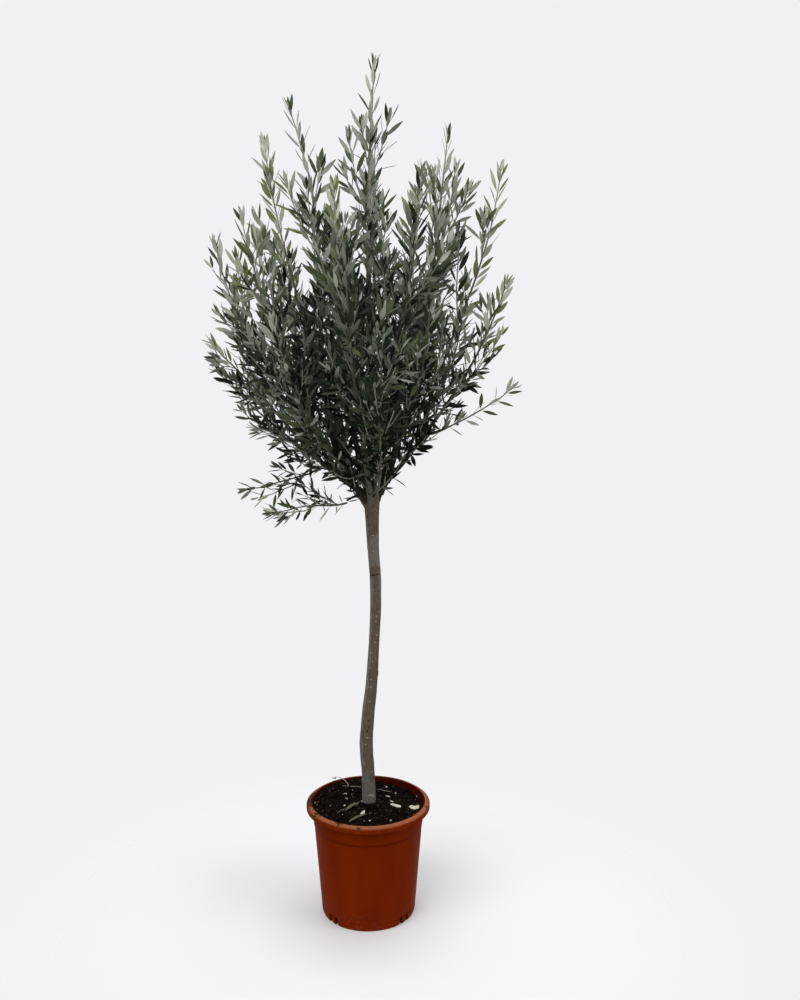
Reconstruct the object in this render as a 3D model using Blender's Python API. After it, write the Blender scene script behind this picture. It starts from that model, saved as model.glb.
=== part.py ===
"""Young olive tree in a round nursery pot.

Frame: origin at the middle of the pot's flat underside, +Z up, front towards -Y.
Units: metres. The trunk stands on the soil inside the pot. Each branch of the crown is
a bough, one tapering limb, and a mass of foliage that grows on from the bough's tip.
"""
import math
import random

import bmesh
import bpy
from mathutils import Vector
from mathutils.geometry import interpolate_bezier
from mathutils.kdtree import KDTree

GAP = 0.0003                    # kept between pieces that rest on each other
UP = Vector((0, 0, 1))

# Pot: a thin-walled round tub with an open-bottomed rolled rim
POT_HEIGHT = 0.266
POT_SIDES = 36
POT_WALL = 0.0018
POT_FLOOR = 0.0030
RIM_RADIUS = 0.140
RIM_SKIRT = 0.0150              # height of the rim's hanging band
RIM_ROUND = 0.0032
MOUTH_RADIUS = 0.1265
NECK_RADIUS = 0.1250            # body just under the rim
LEDGE_HEIGHT = 0.215            # the stacking ledge round the body
LEDGE_STEP = 0.0011
LEDGE_FALL = 0.0020
LEDGE_RADIUS = 0.1238
HEEL_RADIUS = 0.1072            # body just above the rounded heel
HEEL_HEIGHT = 0.012
HEEL_STEPS = 3
FOOT_RADIUS = 0.1025
DRAIN_AZIMUTHS = (37, 47, 133, 143, 217, 227, 313, 323)
DRAIN_WIDTH = 0.010
DRAIN_HEIGHT = 0.023
DRAIN_DEPTH = 0.024
DRAIN_SIDES = 8

# Soil: fills the pot, rises to the trunk and is heaped against the wall behind it
SOIL_EDGE = 0.2500              # height of the surface at the pot's wall in front
SOIL_CROWN = 0.2535             # height of the flat where the trunk stands
SOIL_SEAT = 0.020               # radius of that flat
SOIL_FADE = 0.050               # how far the mound runs out
SOIL_HEAP = 0.0140              # how much higher it is where it is heaped
SOIL_HEAP_WAY = 138             # azimuth of the heap
SOIL_RINGS = (1.0, 0.80, 0.52, 0.32)      # shares of the edge's radius
SOIL_UNEVEN = 0.0012
SOIL_WAVES = ((61, 23), (-31, 47))        # how fast the unevenness runs along x and y
SOIL_SIDES = 18

# Trunk: (height, x, diameter) at a fixed y, from the flat foot on the soil to the fork
TRUNK_Y = 0.022
TRUNK_LINE = ((0.2535, 0.0018, 0.0306), (0.280, 0.0014, 0.0306), (0.320, 0.0004, 0.0292),
              (0.385, -0.0034, 0.0300), (0.458, 0.0006, 0.0288), (0.534, 0.0088, 0.0265),
              (0.630, 0.0149, 0.0234), (0.714, 0.0191, 0.0243), (0.782, 0.0187, 0.0250),
              (0.846, 0.0146, 0.0252), (0.917, 0.0121, 0.0300), (0.962, 0.0116, 0.0355),
              (0.977, 0.0115, 0.0330), (0.985, 0.0115, 0.0235))
TRUNK_SIDES = 12
TRUNK_STEP = 0.045              # rings no further apart than this

# Crown: how far it reaches at each height (height, left, right, front and rear)
CROWN_LEVELS = ((0.90, 0.26, 0.10, 0.15), (1.02, 0.27, 0.11, 0.20), (1.10, 0.27, 0.17, 0.25),
                (1.20, 0.32, 0.25, 0.30), (1.30, 0.35, 0.30, 0.33), (1.42, 0.32, 0.31, 0.33),
                (1.53, 0.32, 0.30, 0.30), (1.62, 0.25, 0.30, 0.27), (1.68, 0.23, 0.29, 0.24),
                (1.75, 0.22, 0.19, 0.20), (1.82, 0.12, 0.10, 0.12), (1.89, 0.04, 0.05, 0.05))

# Branches: name, what it leaves, where (height on the trunk, or share of the bough), its tip,
# the angle it leaves at, the pitch of its tip, its base radius, the share that is bough,
# and how thickly it is clothed. One with no bough is a mass straight from the trunk.
BRANCHES = (
    ("crown_top", "trunk", "top", (0.018, 0.020, 1.822), 0, 86, 0.0110, 0.24, 0.7),
    ("left_spire", "trunk", 0.955, (-0.136, -0.050, 1.725), 38, 68, 0.0088, 0.22, 0.7),
    ("right_spire", "trunk", 0.958, (0.170, 0.060, 1.685), 20, 84, 0.0094, 0.24, 0.7),
    ("front_upper", "trunk", 0.950, (-0.036, -0.235, 1.430), 24, 82, 0.0074, 0.26, 1.0),
    ("rear_top", "trunk", 0.955, (-0.072, 0.195, 1.565), 32, 82, 0.0080, 0.26, 1.0),
    ("centre_left", "crown_top", 0.50, (-0.058, -0.135, 1.560), 36, 82, 0.0056, 0.16, 0.9),
    ("centre_rear", "crown_top", 0.70, (0.020, 0.150, 1.590), 34, 84, 0.0050, 0.16, 0.6),
    ("right_inner", "crown_top", 0.88, (0.108, -0.110, 1.590), 34, 84, 0.0046, 0.14, 0.8),
    ("left_side", "left_spire", 0.34, (-0.278, -0.065, 1.262), 26, 44, 0.0060, 0.22, 1.0),
    ("left_outer", "left_spire", 0.62, (-0.232, -0.115, 1.500), 38, 76, 0.0054, 0.16, 0.8),
    ("left_shoulder", "left_spire", 0.86, (-0.206, 0.095, 1.665), 34, 80, 0.0050, 0.26, 0.35),
    ("left_flank", "left_side", 0.62, (-0.302, 0.030, 1.450), 34, 78, 0.0044, 0.12, 0.9),
    ("left_skirt", "trunk", 0.962, (-0.284, 0.085, 1.190), 50, 44, 0.0054, 0.32, 0.9),
    ("low_left", "left_skirt", 0.90, (-0.200, 0.000, 0.998), 60, -12, 0.0032, 0.30, 0.4),
    ("low_left_under", "left_spire", 0.12, (-0.146, -0.075, 0.960), 84, -8, 0.0030, 0.18, 0.4),
    ("right_side", "right_spire", 0.24, (0.272, -0.045, 1.370), 24, 70, 0.0058, 0.32, 0.6),
    ("right_rear_shoulder", "right_spire", 0.66, (0.192, 0.145, 1.622), 34, 80, 0.0052, 0.38, 0.35),
    ("right_shoulder", "right_side", 0.86, (0.276, 0.020, 1.605), 28, 82, 0.0044, 0.34, 0.3),
    ("right_middle", "right_side", 0.50, (0.182, -0.150, 1.305), 34, 72, 0.0040, 0.24, 0.5),
    ("right_low", "right_side", 0.90, (0.270, 0.040, 1.164), 44, 30, 0.0034, 0.30, 0.4),
    ("front_left", "front_upper", 0.40, (-0.165, -0.200, 1.300), 40, 70, 0.0046, 0.16, 1.0),
    ("front_right", "right_spire", 0.44, (0.120, -0.205, 1.330), 44, 76, 0.0046, 0.16, 1.0),
    ("front_low", "front_upper", 0.84, (0.030, -0.275, 1.285), 40, 64, 0.0040, 0.14, 1.0),
    ("rear_left", "rear_top", 0.42, (-0.185, 0.215, 1.430), 40, 74, 0.0046, 0.16, 1.0),
    ("rear_right", "rear_top", 0.64, (0.145, 0.230, 1.410), 40, 74, 0.0046, 0.16, 1.0),
    ("rear_low", "rear_top", 0.24, (-0.010, 0.275, 1.235), 44, 62, 0.0044, 0.16, 1.0),
    ("front_tuft", "front_upper", 0.16, (0.036, -0.168, 1.116), 58, 8, 0.0036, 0.14, 1.0),
    ("inner_left", "trunk", 0.930, (-0.075, 0.150, 1.125), 56, 70, 0.0032, 0, 1.0),
    ("inner_right", "trunk", 0.970, (0.041, -0.093, 1.220), 34, 74, 0.0032, 0, 1.0),
)
BOUGH_SIDES = 6
BOUGH_RINGS = 4
BOUGH_TAPER = 1.1               # how fast a bough thins, by its share of the branch
BEND = 0.36                     # how strongly a limb keeps its first and last directions
CURVE_STEPS = 40
SAMPLE_STEP = 0.005             # between the points that clearances are measured at
SEAT_SPAN = 3                   # a seat clears its parent this many base radii either way
SEAT_CHECKS = 12

# Twigs and leaves
STEM_SIDES = 3
STEM_RINGS = 6
STEM_TIP = 0.0018
SHOOT_RINGS = 2
SHOOT_BASE = 0.0020
SHOOT_TIP = 0.0016
SHOOT_ANGLES = ((1.35, 40), (1.72, 22))     # a shoot leaves its stem at this angle, by height
SHOOT_UPTURN = 0.60             # and turns back by this share towards its stem and the sky
SHOOT_TURN = math.radians(137.5)
SHOOT_TURN_PLAY = 0.3
SHOOT_FIRST = 0.35              # share of a spacing below the first shoot
SHOOT_SPACING = 0.060           # on a branch that is fully clothed
SHOOTS_AT_LEAST = 5             # places for shoots on a short stem
SHOOTS_UNTIL = 0.74             # the rest of a stem is a single switch
SHOOT_SHARES = ((1.45, 0.46), (1.70, 0.32))     # a shoot's length to what is left of its stem, by height
SHOOT_EXTRA = 0.030
SHOOT_LONGEST = 0.190
SHOOT_SHORTEST = 0.045
SHOOT_TRIES = ((1, 1), (0.75, 0.8), (0.55, 0.6))  # lengths and angles tried until one has room
LEAF_LENGTH = 0.108
LEAF_WIDTH = 0.028
LEAF_KEEL = 0.0022              # depth of the rib under the blade
LEAF_WIDEST = 0.44              # share of the length where the blade is widest
LEAF_TRIES = ((1, 1), (0.76, 0.7))                # sizes and angles tried until a leaf has room
LEAF_BY_HEIGHT = ((1.00, 1.10), (1.55, 0.95), (1.85, 0.66))
LEAF_ROOT = 0.0008              # how far a side leaf's root runs past its twig's axis
LEAF_SPACING = 0.068
LEAF_ANGLES = ((0, 50), (1, 26))                  # at a twig's base and at its tip
LEAF_PLAY = 0.25
END_LEAF_SIZE = 0.90
END_LEAF_ROOT = 0.012           # how far the end leaf's root is sunk in its twig
LENGTH_PLAY = (0.85, 1.10)
SPACING_PLAY = (0.82, 1.18)
CLEAR_OF_MASSES = 0.005
CLEAR_OF_LIMBS = 0.0015
CLEAR_OF_LEAVES = 0.0050

COLOURS = {                     # linear RGB
    "pot": (0.135, 0.012, 0.003),
    "soil": (0.010, 0.007, 0.006),
    "trunk": (0.105, 0.092, 0.078),
    "bough": (0.115, 0.105, 0.085),
    "foliage": (0.060, 0.085, 0.052),
}
ROUGHNESS = {"pot": 0.45, "soil": 0.95, "trunk": 0.85, "bough": 0.80, "foliage": 0.55}


def clear_scene():
    for thing in list(bpy.data.objects):
        bpy.data.objects.remove(thing, do_unlink=True)


def plain_material(kind):
    found = bpy.data.materials.get(kind)
    if found:
        return found
    made = bpy.data.materials.new(kind)
    made.use_nodes = True
    shader = made.node_tree.nodes["Principled BSDF"]
    shader.inputs["Base Color"].default_value = (*COLOURS[kind], 1)
    shader.inputs["Roughness"].default_value = ROUGHNESS[kind]
    shader.inputs["Metallic"].default_value = 0
    return made


def object_from(name, bm, kind, home=None, group=None, smooth=False):
    """Turn a bmesh into an object of the tree, with its own origin at home."""
    home = home or Vector((0, 0, 0))
    bmesh.ops.translate(bm, vec=-home, verts=bm.verts)
    bmesh.ops.recalc_face_normals(bm, faces=bm.faces)
    mesh = bpy.data.meshes.new(name)
    bm.to_mesh(mesh)
    bm.free()
    if smooth:
        mesh.shade_smooth()
        mesh.set_sharp_from_angle(angle=math.radians(40))
    mesh.materials.append(plain_material(kind))
    made = bpy.data.objects.new(name, mesh)
    made.location = home
    made.parent = bpy.data.objects["olive_tree"]
    (group or bpy.context.scene.collection).objects.link(made)
    return made


def turned(profile, sides):
    """Spin a list of (radius, height) round the Z axis."""
    bm = bmesh.new()
    line = [bm.verts.new((radius, 0, height)) for radius, height in profile]
    edges = [bm.edges.new(pair) for pair in zip(line, line[1:])]
    bmesh.ops.spin(bm, geom=line + edges, axis=UP, cent=(0, 0, 0), angle=math.tau, steps=sides,
                   use_merge=True)
    bmesh.ops.remove_doubles(bm, verts=bm.verts, dist=1e-6)
    return bm


def between(rows, place):
    """Read a table of (place, value, ...) rows at a place, straight between its rows."""
    if place <= rows[0][0]:
        return rows[0][1:]
    for low, high in zip(rows, rows[1:]):
        if place <= high[0]:
            share = (place - low[0]) / (high[0] - low[0])
            return tuple(a + (b - a) * share for a, b in zip(low[1:], high[1:]))
    return rows[-1][1:]


# --- Pot and soil

def wall_radius(height):
    """The body's outer radius between the heel and the ledge."""
    top = LEDGE_RADIUS - LEDGE_STEP
    return HEEL_RADIUS + (top - HEEL_RADIUS) * (height - HEEL_HEIGHT) / (LEDGE_HEIGHT - HEEL_HEIGHT)


def make_pot():
    under_rim = POT_HEIGHT - RIM_SKIRT
    rim_inside = RIM_RADIUS - POT_WALL
    rim_ceiling = POT_HEIGHT - POT_WALL
    below_ledge = LEDGE_HEIGHT - LEDGE_FALL
    profile = [(0, 0)]
    for k in range(HEEL_STEPS + 1):
        turn = math.pi / 2 * k / HEEL_STEPS
        profile.append((FOOT_RADIUS + (HEEL_RADIUS - FOOT_RADIUS) * math.sin(turn),
                        HEEL_HEIGHT * (1 - math.cos(turn))))
    profile += [
        (wall_radius(below_ledge), below_ledge),
        (LEDGE_RADIUS, LEDGE_HEIGHT),
        (NECK_RADIUS, under_rim),
        (MOUTH_RADIUS + POT_WALL, rim_ceiling),
        (rim_inside, rim_ceiling),
        (rim_inside, under_rim),
        (RIM_RADIUS, under_rim),
        (RIM_RADIUS, POT_HEIGHT - RIM_ROUND),
        (RIM_RADIUS - RIM_ROUND, POT_HEIGHT),
        (MOUTH_RADIUS, POT_HEIGHT),
        (NECK_RADIUS - POT_WALL, under_rim),
        (wall_radius(below_ledge) - POT_WALL, below_ledge),
        (HEEL_RADIUS - POT_WALL, HEEL_HEIGHT),
        (FOOT_RADIUS - POT_WALL, POT_FLOOR),
        (0, POT_FLOOR),
    ]
    pot = object_from("pot", turned(profile, POT_SIDES), "pot", smooth=True)
    for azimuth in DRAIN_AZIMUTHS:
        cut_drain(pot, azimuth)


def cut_drain(pot, azimuth):
    """Cut one arched drainage notch through the pot's heel."""
    bm = bmesh.new()
    bmesh.ops.create_cone(bm, cap_ends=True, segments=DRAIN_SIDES, radius1=DRAIN_WIDTH / 2,
                          radius2=DRAIN_WIDTH / 2, depth=DRAIN_DEPTH)
    cutter = object_from(f"drain_{azimuth}", bm, "pot")
    turn = math.radians(azimuth)
    cutter.scale = (DRAIN_HEIGHT / (DRAIN_WIDTH / 2), 1, 1)
    cutter.rotation_euler = (0, math.pi / 2, turn)
    cutter.location = (HEEL_RADIUS * math.cos(turn), HEEL_RADIUS * math.sin(turn), 0)
    cutter.hide_render = True
    cutter.display_type = "WIRE"
    notch = pot.modifiers.new(cutter.name, "BOOLEAN")
    notch.operation = "DIFFERENCE"
    notch.object = cutter


def soil_height(x, y):
    """The soil's surface: mounded to the trunk, heaped behind it, a little uneven."""
    from_seat = max(0.0, math.hypot(x - TRUNK_LINE[0][1], y - TRUNK_Y) - SOIL_SEAT)
    mound = (SOIL_CROWN - GAP - SOIL_EDGE) * math.exp(-(from_seat / SOIL_FADE) ** 2)
    away = min(1.0, from_seat / SOIL_SEAT)
    heap_way = math.radians(SOIL_HEAP_WAY)
    behind = max(0.0, x * math.cos(heap_way) + y * math.sin(heap_way)) / NECK_RADIUS
    waves = sum(math.sin(a * x + b * y) for a, b in SOIL_WAVES)
    return SOIL_EDGE + mound + away * (SOIL_HEAP * behind + SOIL_UNEVEN * waves)


def make_soil():
    clear = POT_WALL + GAP
    below_ledge = LEDGE_HEIGHT - LEDGE_FALL
    wall = wall_radius(below_ledge) - clear
    edge = between(((below_ledge, wall), (POT_HEIGHT - RIM_SKIRT, NECK_RADIUS - clear)), SOIL_EDGE)[0]
    floor = POT_FLOOR + GAP
    profile = [(0, floor), (FOOT_RADIUS - clear, floor), (HEEL_RADIUS - clear, HEEL_HEIGHT)]
    profile += [(wall, below_ledge)]
    profile += [(edge * share, SOIL_EDGE) for share in (*SOIL_RINGS, SOIL_SEAT / edge)] + [(0, SOIL_EDGE)]
    bm = turned(profile, SOIL_SIDES)
    for vert in bm.verts:
        inward = 1 - math.hypot(vert.co.x, vert.co.y) / edge
        if vert.co.z > below_ledge + GAP:
            vert.co.x += inward * TRUNK_LINE[0][1]
            vert.co.y += inward * TRUNK_Y
            vert.co.z = soil_height(vert.co.x, vert.co.y)
    object_from("soil", bm, "soil", smooth=True)


# --- Limbs

class Limb:
    """A centre line with a radius and a direction at each of its points."""

    def __init__(self, points, radii, ways=None):
        self.points = points
        self.radii = radii
        runs = [(b - a).normalized() for a, b in zip(points, points[1:])]
        self.ways = ways or [(a + b).normalized() for a, b in zip(runs[:1] + runs, runs + runs[-1:])]
        self.places = [0.0]
        for a, b in zip(points, points[1:]):
            self.places.append(self.places[-1] + (b - a).length)
        self.length = self.places[-1]

    def at(self, distance):
        """The point, direction and radius at a distance along the line."""
        i, share = self.segment(distance)
        point = self.points[i].lerp(self.points[i + 1], share)
        way = self.ways[i].lerp(self.ways[i + 1], share).normalized()
        return point, way, self.radii[i] + (self.radii[i + 1] - self.radii[i]) * share

    def segment(self, distance):
        """The segment that a distance falls in, and its share of that segment."""
        distance = min(max(distance, 0.0), self.length)
        i = max(k for k in range(len(self.points) - 1) if k == 0 or self.places[k] <= distance)
        return i, (distance - self.places[i]) / (self.places[i + 1] - self.places[i])

    def part(self, start, end, rings):
        """A shorter limb along the same line."""
        read = [self.at(start + (end - start) * k / rings) for k in range(rings + 1)]
        points, ways, radii = zip(*read)
        return Limb(list(points), list(radii), list(ways))


def cubic(start, start_way, end, end_way, steps):
    """Points along a smooth curve with a given direction at each end."""
    pull = BEND * (end - start).length
    return interpolate_bezier(start, start + start_way * pull, end - end_way * pull, end, steps + 1)


def corner_rings(limb, sides, seat=None):
    """Rings of corners along a limb. A seat (point, normal) shears the first ring into its plane."""
    rings = []
    across = limb.ways[0].orthogonal()
    for point, along, radius in zip(limb.points, limb.ways, limb.radii):
        across = (across - along * across.dot(along)).normalized()
        over = along.cross(across)
        turns = [math.tau * k / sides for k in range(sides)]
        rings.append([point + (across * math.cos(turn) + over * math.sin(turn)) * radius for turn in turns])
    if seat:
        foot, outward = seat
        way = limb.ways[0]
        rings[0] = [corner + way * ((foot - corner).dot(outward) / way.dot(outward)) for corner in rings[0]]
    return rings


def tube(rings):
    """A closed tube through rings of corners."""
    bm = bmesh.new()
    rings = [[bm.verts.new(corner) for corner in ring] for ring in rings]
    for low, high in zip(rings, rings[1:]):
        for a, b, c, d in zip(low, low[1:] + low[:1], high[1:] + high[:1], high):
            bm.faces.new((a, b, c, d))
    bm.faces.new(reversed(rings[0]))
    bm.faces.new(rings[-1])
    return bm


def trunk_limb():
    """The trunk's line, curved smoothly through its rows."""
    spots = [Vector((x, TRUNK_Y, height)) for height, x, _ in TRUNK_LINE]
    through = Limb(spots, [diameter / 2 for _, _, diameter in TRUNK_LINE])
    points, radii = [], []
    for i in range(len(spots) - 1):
        length = (spots[i + 1] - spots[i]).length
        count = math.ceil(length / TRUNK_STEP)
        curve = interpolate_bezier(spots[i], spots[i] + through.ways[i] * length / 3,
                                   spots[i + 1] - through.ways[i + 1] * length / 3, spots[i + 1], count + 1)
        points += curve[:-1]
        radii += [between(((0, through.radii[i]), (count, through.radii[i + 1])), k)[0] for k in range(count)]
    points += spots[-1:]
    radii += through.radii[-1:]
    return Limb(points, radii, [UP] + Limb(points, radii).ways[1:-1] + [UP])


def branch_start(parent, rings, distance, tip, leave, span):
    """Where a branch leaves its parent's side, its first direction, and a seat clear of the parent."""
    axis_point, along, _ = parent.at(distance)
    outward = tip - axis_point
    outward = (outward - along * outward.dot(along)).normalized()
    swell = 0.0
    for k in range(SEAT_CHECKS + 1):
        i, share = parent.segment(distance + span * (2 * k / SEAT_CHECKS - 1))
        corners = [low.lerp(high, share) for low, high in zip(rings[i], rings[i + 1])]
        swell = max(swell, *[(corner - axis_point).dot(outward) for corner in corners])
    foot = axis_point + outward * (swell + GAP)
    way = along * math.cos(leave) + outward * math.sin(leave)
    return foot, way, (foot, outward)


def plan_branches(trunk):
    """Every branch as two limbs: its bough, if it has one, and the stem of its foliage."""
    plans = {}
    trunk_rings = corner_rings(trunk, TRUNK_SIDES)
    for name, parent, place, tip, leave, pitch, girth, share, fullness in BRANCHES:
        tip = Vector(tip)
        if place == "top":
            start, way, seat = trunk.points[-1] + UP * GAP, UP, None
        else:
            carrier, rings, distance = trunk, trunk_rings, place - TRUNK_LINE[0][0]
            if parent != "trunk":
                carrier, rings = plans[parent]["bough"], plans[parent]["rings"]
                distance = place * carrier.length
            span = SEAT_SPAN * girth
            start, way, seat = branch_start(carrier, rings, distance, tip, math.radians(leave), span)
        level = Vector((tip.x - start.x, tip.y - start.y, 0)).normalized()
        end_way = level * math.cos(math.radians(pitch)) + UP * math.sin(math.radians(pitch))
        points = cubic(start, way, tip, end_way, CURVE_STEPS)
        whole = Limb(points, [girth] * len(points))
        cut = share * whole.length
        taper = ((cut, girth * (1 - BOUGH_TAPER * share)), (whole.length, STEM_TIP))
        if share:
            taper = ((0, girth), *taper)
        whole.radii = [between(taper, place)[0] for place in whole.places]
        bough = whole.part(0, cut, BOUGH_RINGS) if share else None
        stem = whole.part(cut + GAP if share else 0, whole.length, STEM_RINGS)
        rings = corner_rings(bough, BOUGH_SIDES, seat) if share else None
        plans[name] = {"bough": bough, "rings": rings, "stem": stem, "seat": None if share else seat,
                       "fullness": fullness}
    return plans


# --- Foliage

class Space:
    """Says which places are free for a mass: in the crown, nearest its own stem, off the limbs."""

    def __init__(self, limbs, stems):
        self.stems = {name: point_tree([point for point, _ in spread(stem)]) for name, stem in stems.items()}
        samples = [sample for limb in limbs for sample in spread(limb)]
        self.limbs = point_tree([point for point, _ in samples])
        self.radii = [radius for _, radius in samples]

    def holds(self, name, points):
        return all(self.in_crown(p) and self.nearest_own(name, p) and self.off_limbs(p) for p in points)

    def in_crown(self, point):
        left, right, depth = between(CROWN_LEVELS, point.z)
        side = left if point.x < 0 else right
        return (point.x / side) ** 2 + (point.y / depth) ** 2 < 1 and point.z < CROWN_LEVELS[-1][0]

    def nearest_own(self, name, point):
        own = self.stems[name].find(point)[2] + CLEAR_OF_MASSES
        return all(tree.find(point)[2] > own for other, tree in self.stems.items() if other != name)

    def off_limbs(self, point):
        near = self.limbs.find_range(point, max(self.radii) + CLEAR_OF_LIMBS)
        return all(distance > self.radii[index] + CLEAR_OF_LIMBS for _, index, distance in near)


def spread(limb):
    """(point, radius) samples along a limb."""
    count = max(2, math.ceil(limb.length / SAMPLE_STEP))
    samples = limb.part(0, limb.length, count)
    return list(zip(samples.points, samples.radii))


def point_tree(points):
    tree = KDTree(len(points))
    for i, point in enumerate(points):
        tree.insert(point, i)
    tree.balance()
    return tree


def sideways(along, turn):
    """A direction square to along, at a turn round it."""
    across = along.orthogonal().normalized()
    return across * math.cos(turn) + along.cross(across) * math.sin(turn)


def leaning(along, side, angle):
    """The direction that leaves along by an angle in degrees towards side."""
    return along * math.cos(math.radians(angle)) + side * math.sin(math.radians(angle))


def grow_shoots(name, stem, fullness, space):
    """Upright shoots up the stem, each at a steady turn from the last, none out of its space."""
    rule = random.Random(name)
    turn = rule.uniform(0, math.tau)
    spacing = min(SHOOT_SPACING, stem.length / SHOOTS_AT_LEAST) / fullness
    distance = SHOOT_FIRST * spacing
    shoots = []
    while distance < SHOOTS_UNTIL * stem.length:
        turn += SHOOT_TURN + rule.uniform(-SHOOT_TURN_PLAY, SHOOT_TURN_PLAY)
        height = stem.at(distance)[0].z
        share = between(SHOOT_SHARES, height)[0]
        full = min(SHOOT_LONGEST, share * (stem.length - distance) + SHOOT_EXTRA)
        full *= rule.uniform(*LENGTH_PLAY)
        angle = between(SHOOT_ANGLES, height)[0]
        for shorter, closer in SHOOT_TRIES:
            shoot = grow_shoot(stem, distance, turn, full * shorter, angle * closer)
            beyond = shoot.points[-1] + shoot.ways[-1] * LEAF_LENGTH / 2
            if shoot.length > SHOOT_SHORTEST and space.holds(name, shoot.points[1:] + [beyond]):
                shoots.append(shoot)
                break
        distance += spacing * rule.uniform(*SPACING_PLAY)
    return shoots


def grow_shoot(stem, distance, turn, length, angle):
    point, along, _ = stem.at(distance)
    way = leaning(along, sideways(along, turn), angle)
    end_way = way.lerp(along.lerp(UP, 0.5), SHOOT_UPTURN).normalized()
    tip = point + (way + end_way).normalized() * length
    radii = [SHOOT_BASE + (SHOOT_TIP - SHOOT_BASE) * k / SHOOT_RINGS for k in range(SHOOT_RINGS + 1)]
    return Limb(cubic(point, way, tip, end_way, SHOOT_RINGS), radii)


class Leaf:
    """A slim blade of six faces, flat above and keeled below."""

    def __init__(self, root, way, across, size):
        size *= between(LEAF_BY_HEIGHT, root.z)[0]
        across = (across - way * across.dot(way)).normalized()
        self.root = root
        self.tip = root + way * (LEAF_LENGTH * size)
        middle = root.lerp(self.tip, LEAF_WIDEST)
        left = middle + across * (LEAF_WIDTH / 2 * size)
        right = middle - across * (LEAF_WIDTH / 2 * size)
        self.rim = [left, middle + across.cross(way) * LEAF_KEEL, right]
        self.probes = [middle, left, right, middle.lerp(self.tip, 0.5), self.tip]
        self.outline = [root.lerp(corner, 0.5) for corner in (left, middle, right)]
        self.outline += [self.tip.lerp(corner, 0.5) for corner in (left, right)]

    def clear_of(self, points):
        return all((probe - point).length > CLEAR_OF_LEAVES for probe in self.probes for point in points)

    def mesh(self):
        bm = bmesh.new()
        root, tip = bm.verts.new(self.root), bm.verts.new(self.tip)
        rim = [bm.verts.new(corner) for corner in self.rim]
        for a, b in ((0, 1), (1, 2), (2, 0)):
            bm.faces.new((root, rim[a], rim[b]))
            bm.faces.new((tip, rim[b], rim[a]))
        return bm


def grow_leaves(name, stem, shoots, space):
    """One leaf at each twig's end, and leaves in crossed pairs along it."""
    rule = random.Random(name + " leaves")
    twigs = [stem] + shoots
    twig_points = [point for twig in twigs for point, _ in spread(twig)]
    kept = []
    for twig in twigs:
        point, along, _ = twig.at(twig.length - END_LEAF_ROOT)
        leaf = Leaf(point, along, sideways(along, rule.uniform(0, math.tau)), END_LEAF_SIZE)
        if leaf.clear_of([probe for other in kept for probe in other.probes]):
            kept.append(leaf)
    for twig in twigs:
        turn = rule.uniform(0, math.tau)
        distance = LEAF_SPACING / 2
        while distance < twig.length - LEAF_SPACING / 2:
            point, along, _ = twig.at(distance)
            for half in (0, math.pi):
                side = sideways(along, turn + half + rule.uniform(-LEAF_PLAY, LEAF_PLAY))
                angle = between(LEAF_ANGLES, distance / twig.length)[0] * rule.uniform(*LENGTH_PLAY)
                taken = twig_points + [probe for other in kept for probe in other.probes]
                for size, closer in LEAF_TRIES:
                    way = leaning(along, side, angle * closer)
                    leaf = Leaf(point - way * LEAF_ROOT, way, along.cross(side), size)
                    if leaf.clear_of(taken) and space.holds(name, leaf.probes + leaf.outline):
                        kept.append(leaf)
                        break
            turn += math.pi / 2
            distance += LEAF_SPACING * rule.uniform(*SPACING_PLAY)
    return kept


def make_mass(name, plan, space):
    """One mass of foliage: its stem, shoots and leaves fused into one solid."""
    stem = plan["stem"]
    shoots = grow_shoots(name, stem, plan["fullness"], space)
    leaves = grow_leaves(name, stem, shoots, space)
    stem_mesh = tube(corner_rings(stem, STEM_SIDES, plan["seat"]))
    mass = object_from(f"{name}_foliage", stem_mesh, "foliage", stem.points[0])
    grown = bpy.data.collections.new(f"{name}_grown")
    for i, shoot in enumerate(shoots):
        shoot_mesh = tube(corner_rings(shoot, STEM_SIDES))
        object_from(f"{name}_shoot_{i}", shoot_mesh, "foliage", shoot.points[0], grown)
    for i, leaf in enumerate(leaves):
        object_from(f"{name}_leaf_{i}", leaf.mesh(), "foliage", leaf.root, grown)
    fuse(mass, grown)
    print(f"{name}: {len(shoots)} shoots, {len(leaves)} leaves")
    return len(leaves)


def fuse(target, group):
    """Join a collection's objects to the target with one Boolean union, applied."""
    bpy.context.scene.collection.children.link(group)
    union = target.modifiers.new("grown", "BOOLEAN")
    union.operation = "UNION"
    union.operand_type = "COLLECTION"
    union.collection = group
    union.solver = "MANIFOLD"
    evaluated = target.evaluated_get(bpy.context.evaluated_depsgraph_get())
    joined = bpy.data.meshes.new_from_object(evaluated)
    target.modifiers.remove(union)
    target.data = joined
    for piece in list(group.objects):
        bpy.data.objects.remove(piece, do_unlink=True)
    bpy.data.collections.remove(group)


def main():
    clear_scene()
    bpy.context.scene.collection.objects.link(bpy.data.objects.new("olive_tree", None))
    make_pot()
    make_soil()
    trunk = trunk_limb()
    trunk_mesh = tube(corner_rings(trunk, TRUNK_SIDES))
    object_from("trunk", trunk_mesh, "trunk", trunk.points[0], smooth=True)
    plans = plan_branches(trunk)
    boughs = {name: plan["bough"] for name, plan in plans.items() if plan["bough"]}
    for name, bough in boughs.items():
        object_from(f"{name}_bough", tube(plans[name]["rings"]), "bough", bough.points[0], smooth=True)
    space = Space([trunk, *boughs.values()], {name: plan["stem"] for name, plan in plans.items()})
    leaves = sum(make_mass(name, plan, space) for name, plan in plans.items())
    print(f"{len(plans)} masses with {leaves} leaves in all")


main()
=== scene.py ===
# Young olive tree in a nursery pot: its finish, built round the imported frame.
# Metres, +Z up, the tree's front towards -Y. Sizes given as "Mm" are in millimetres.
import math
import random

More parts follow.
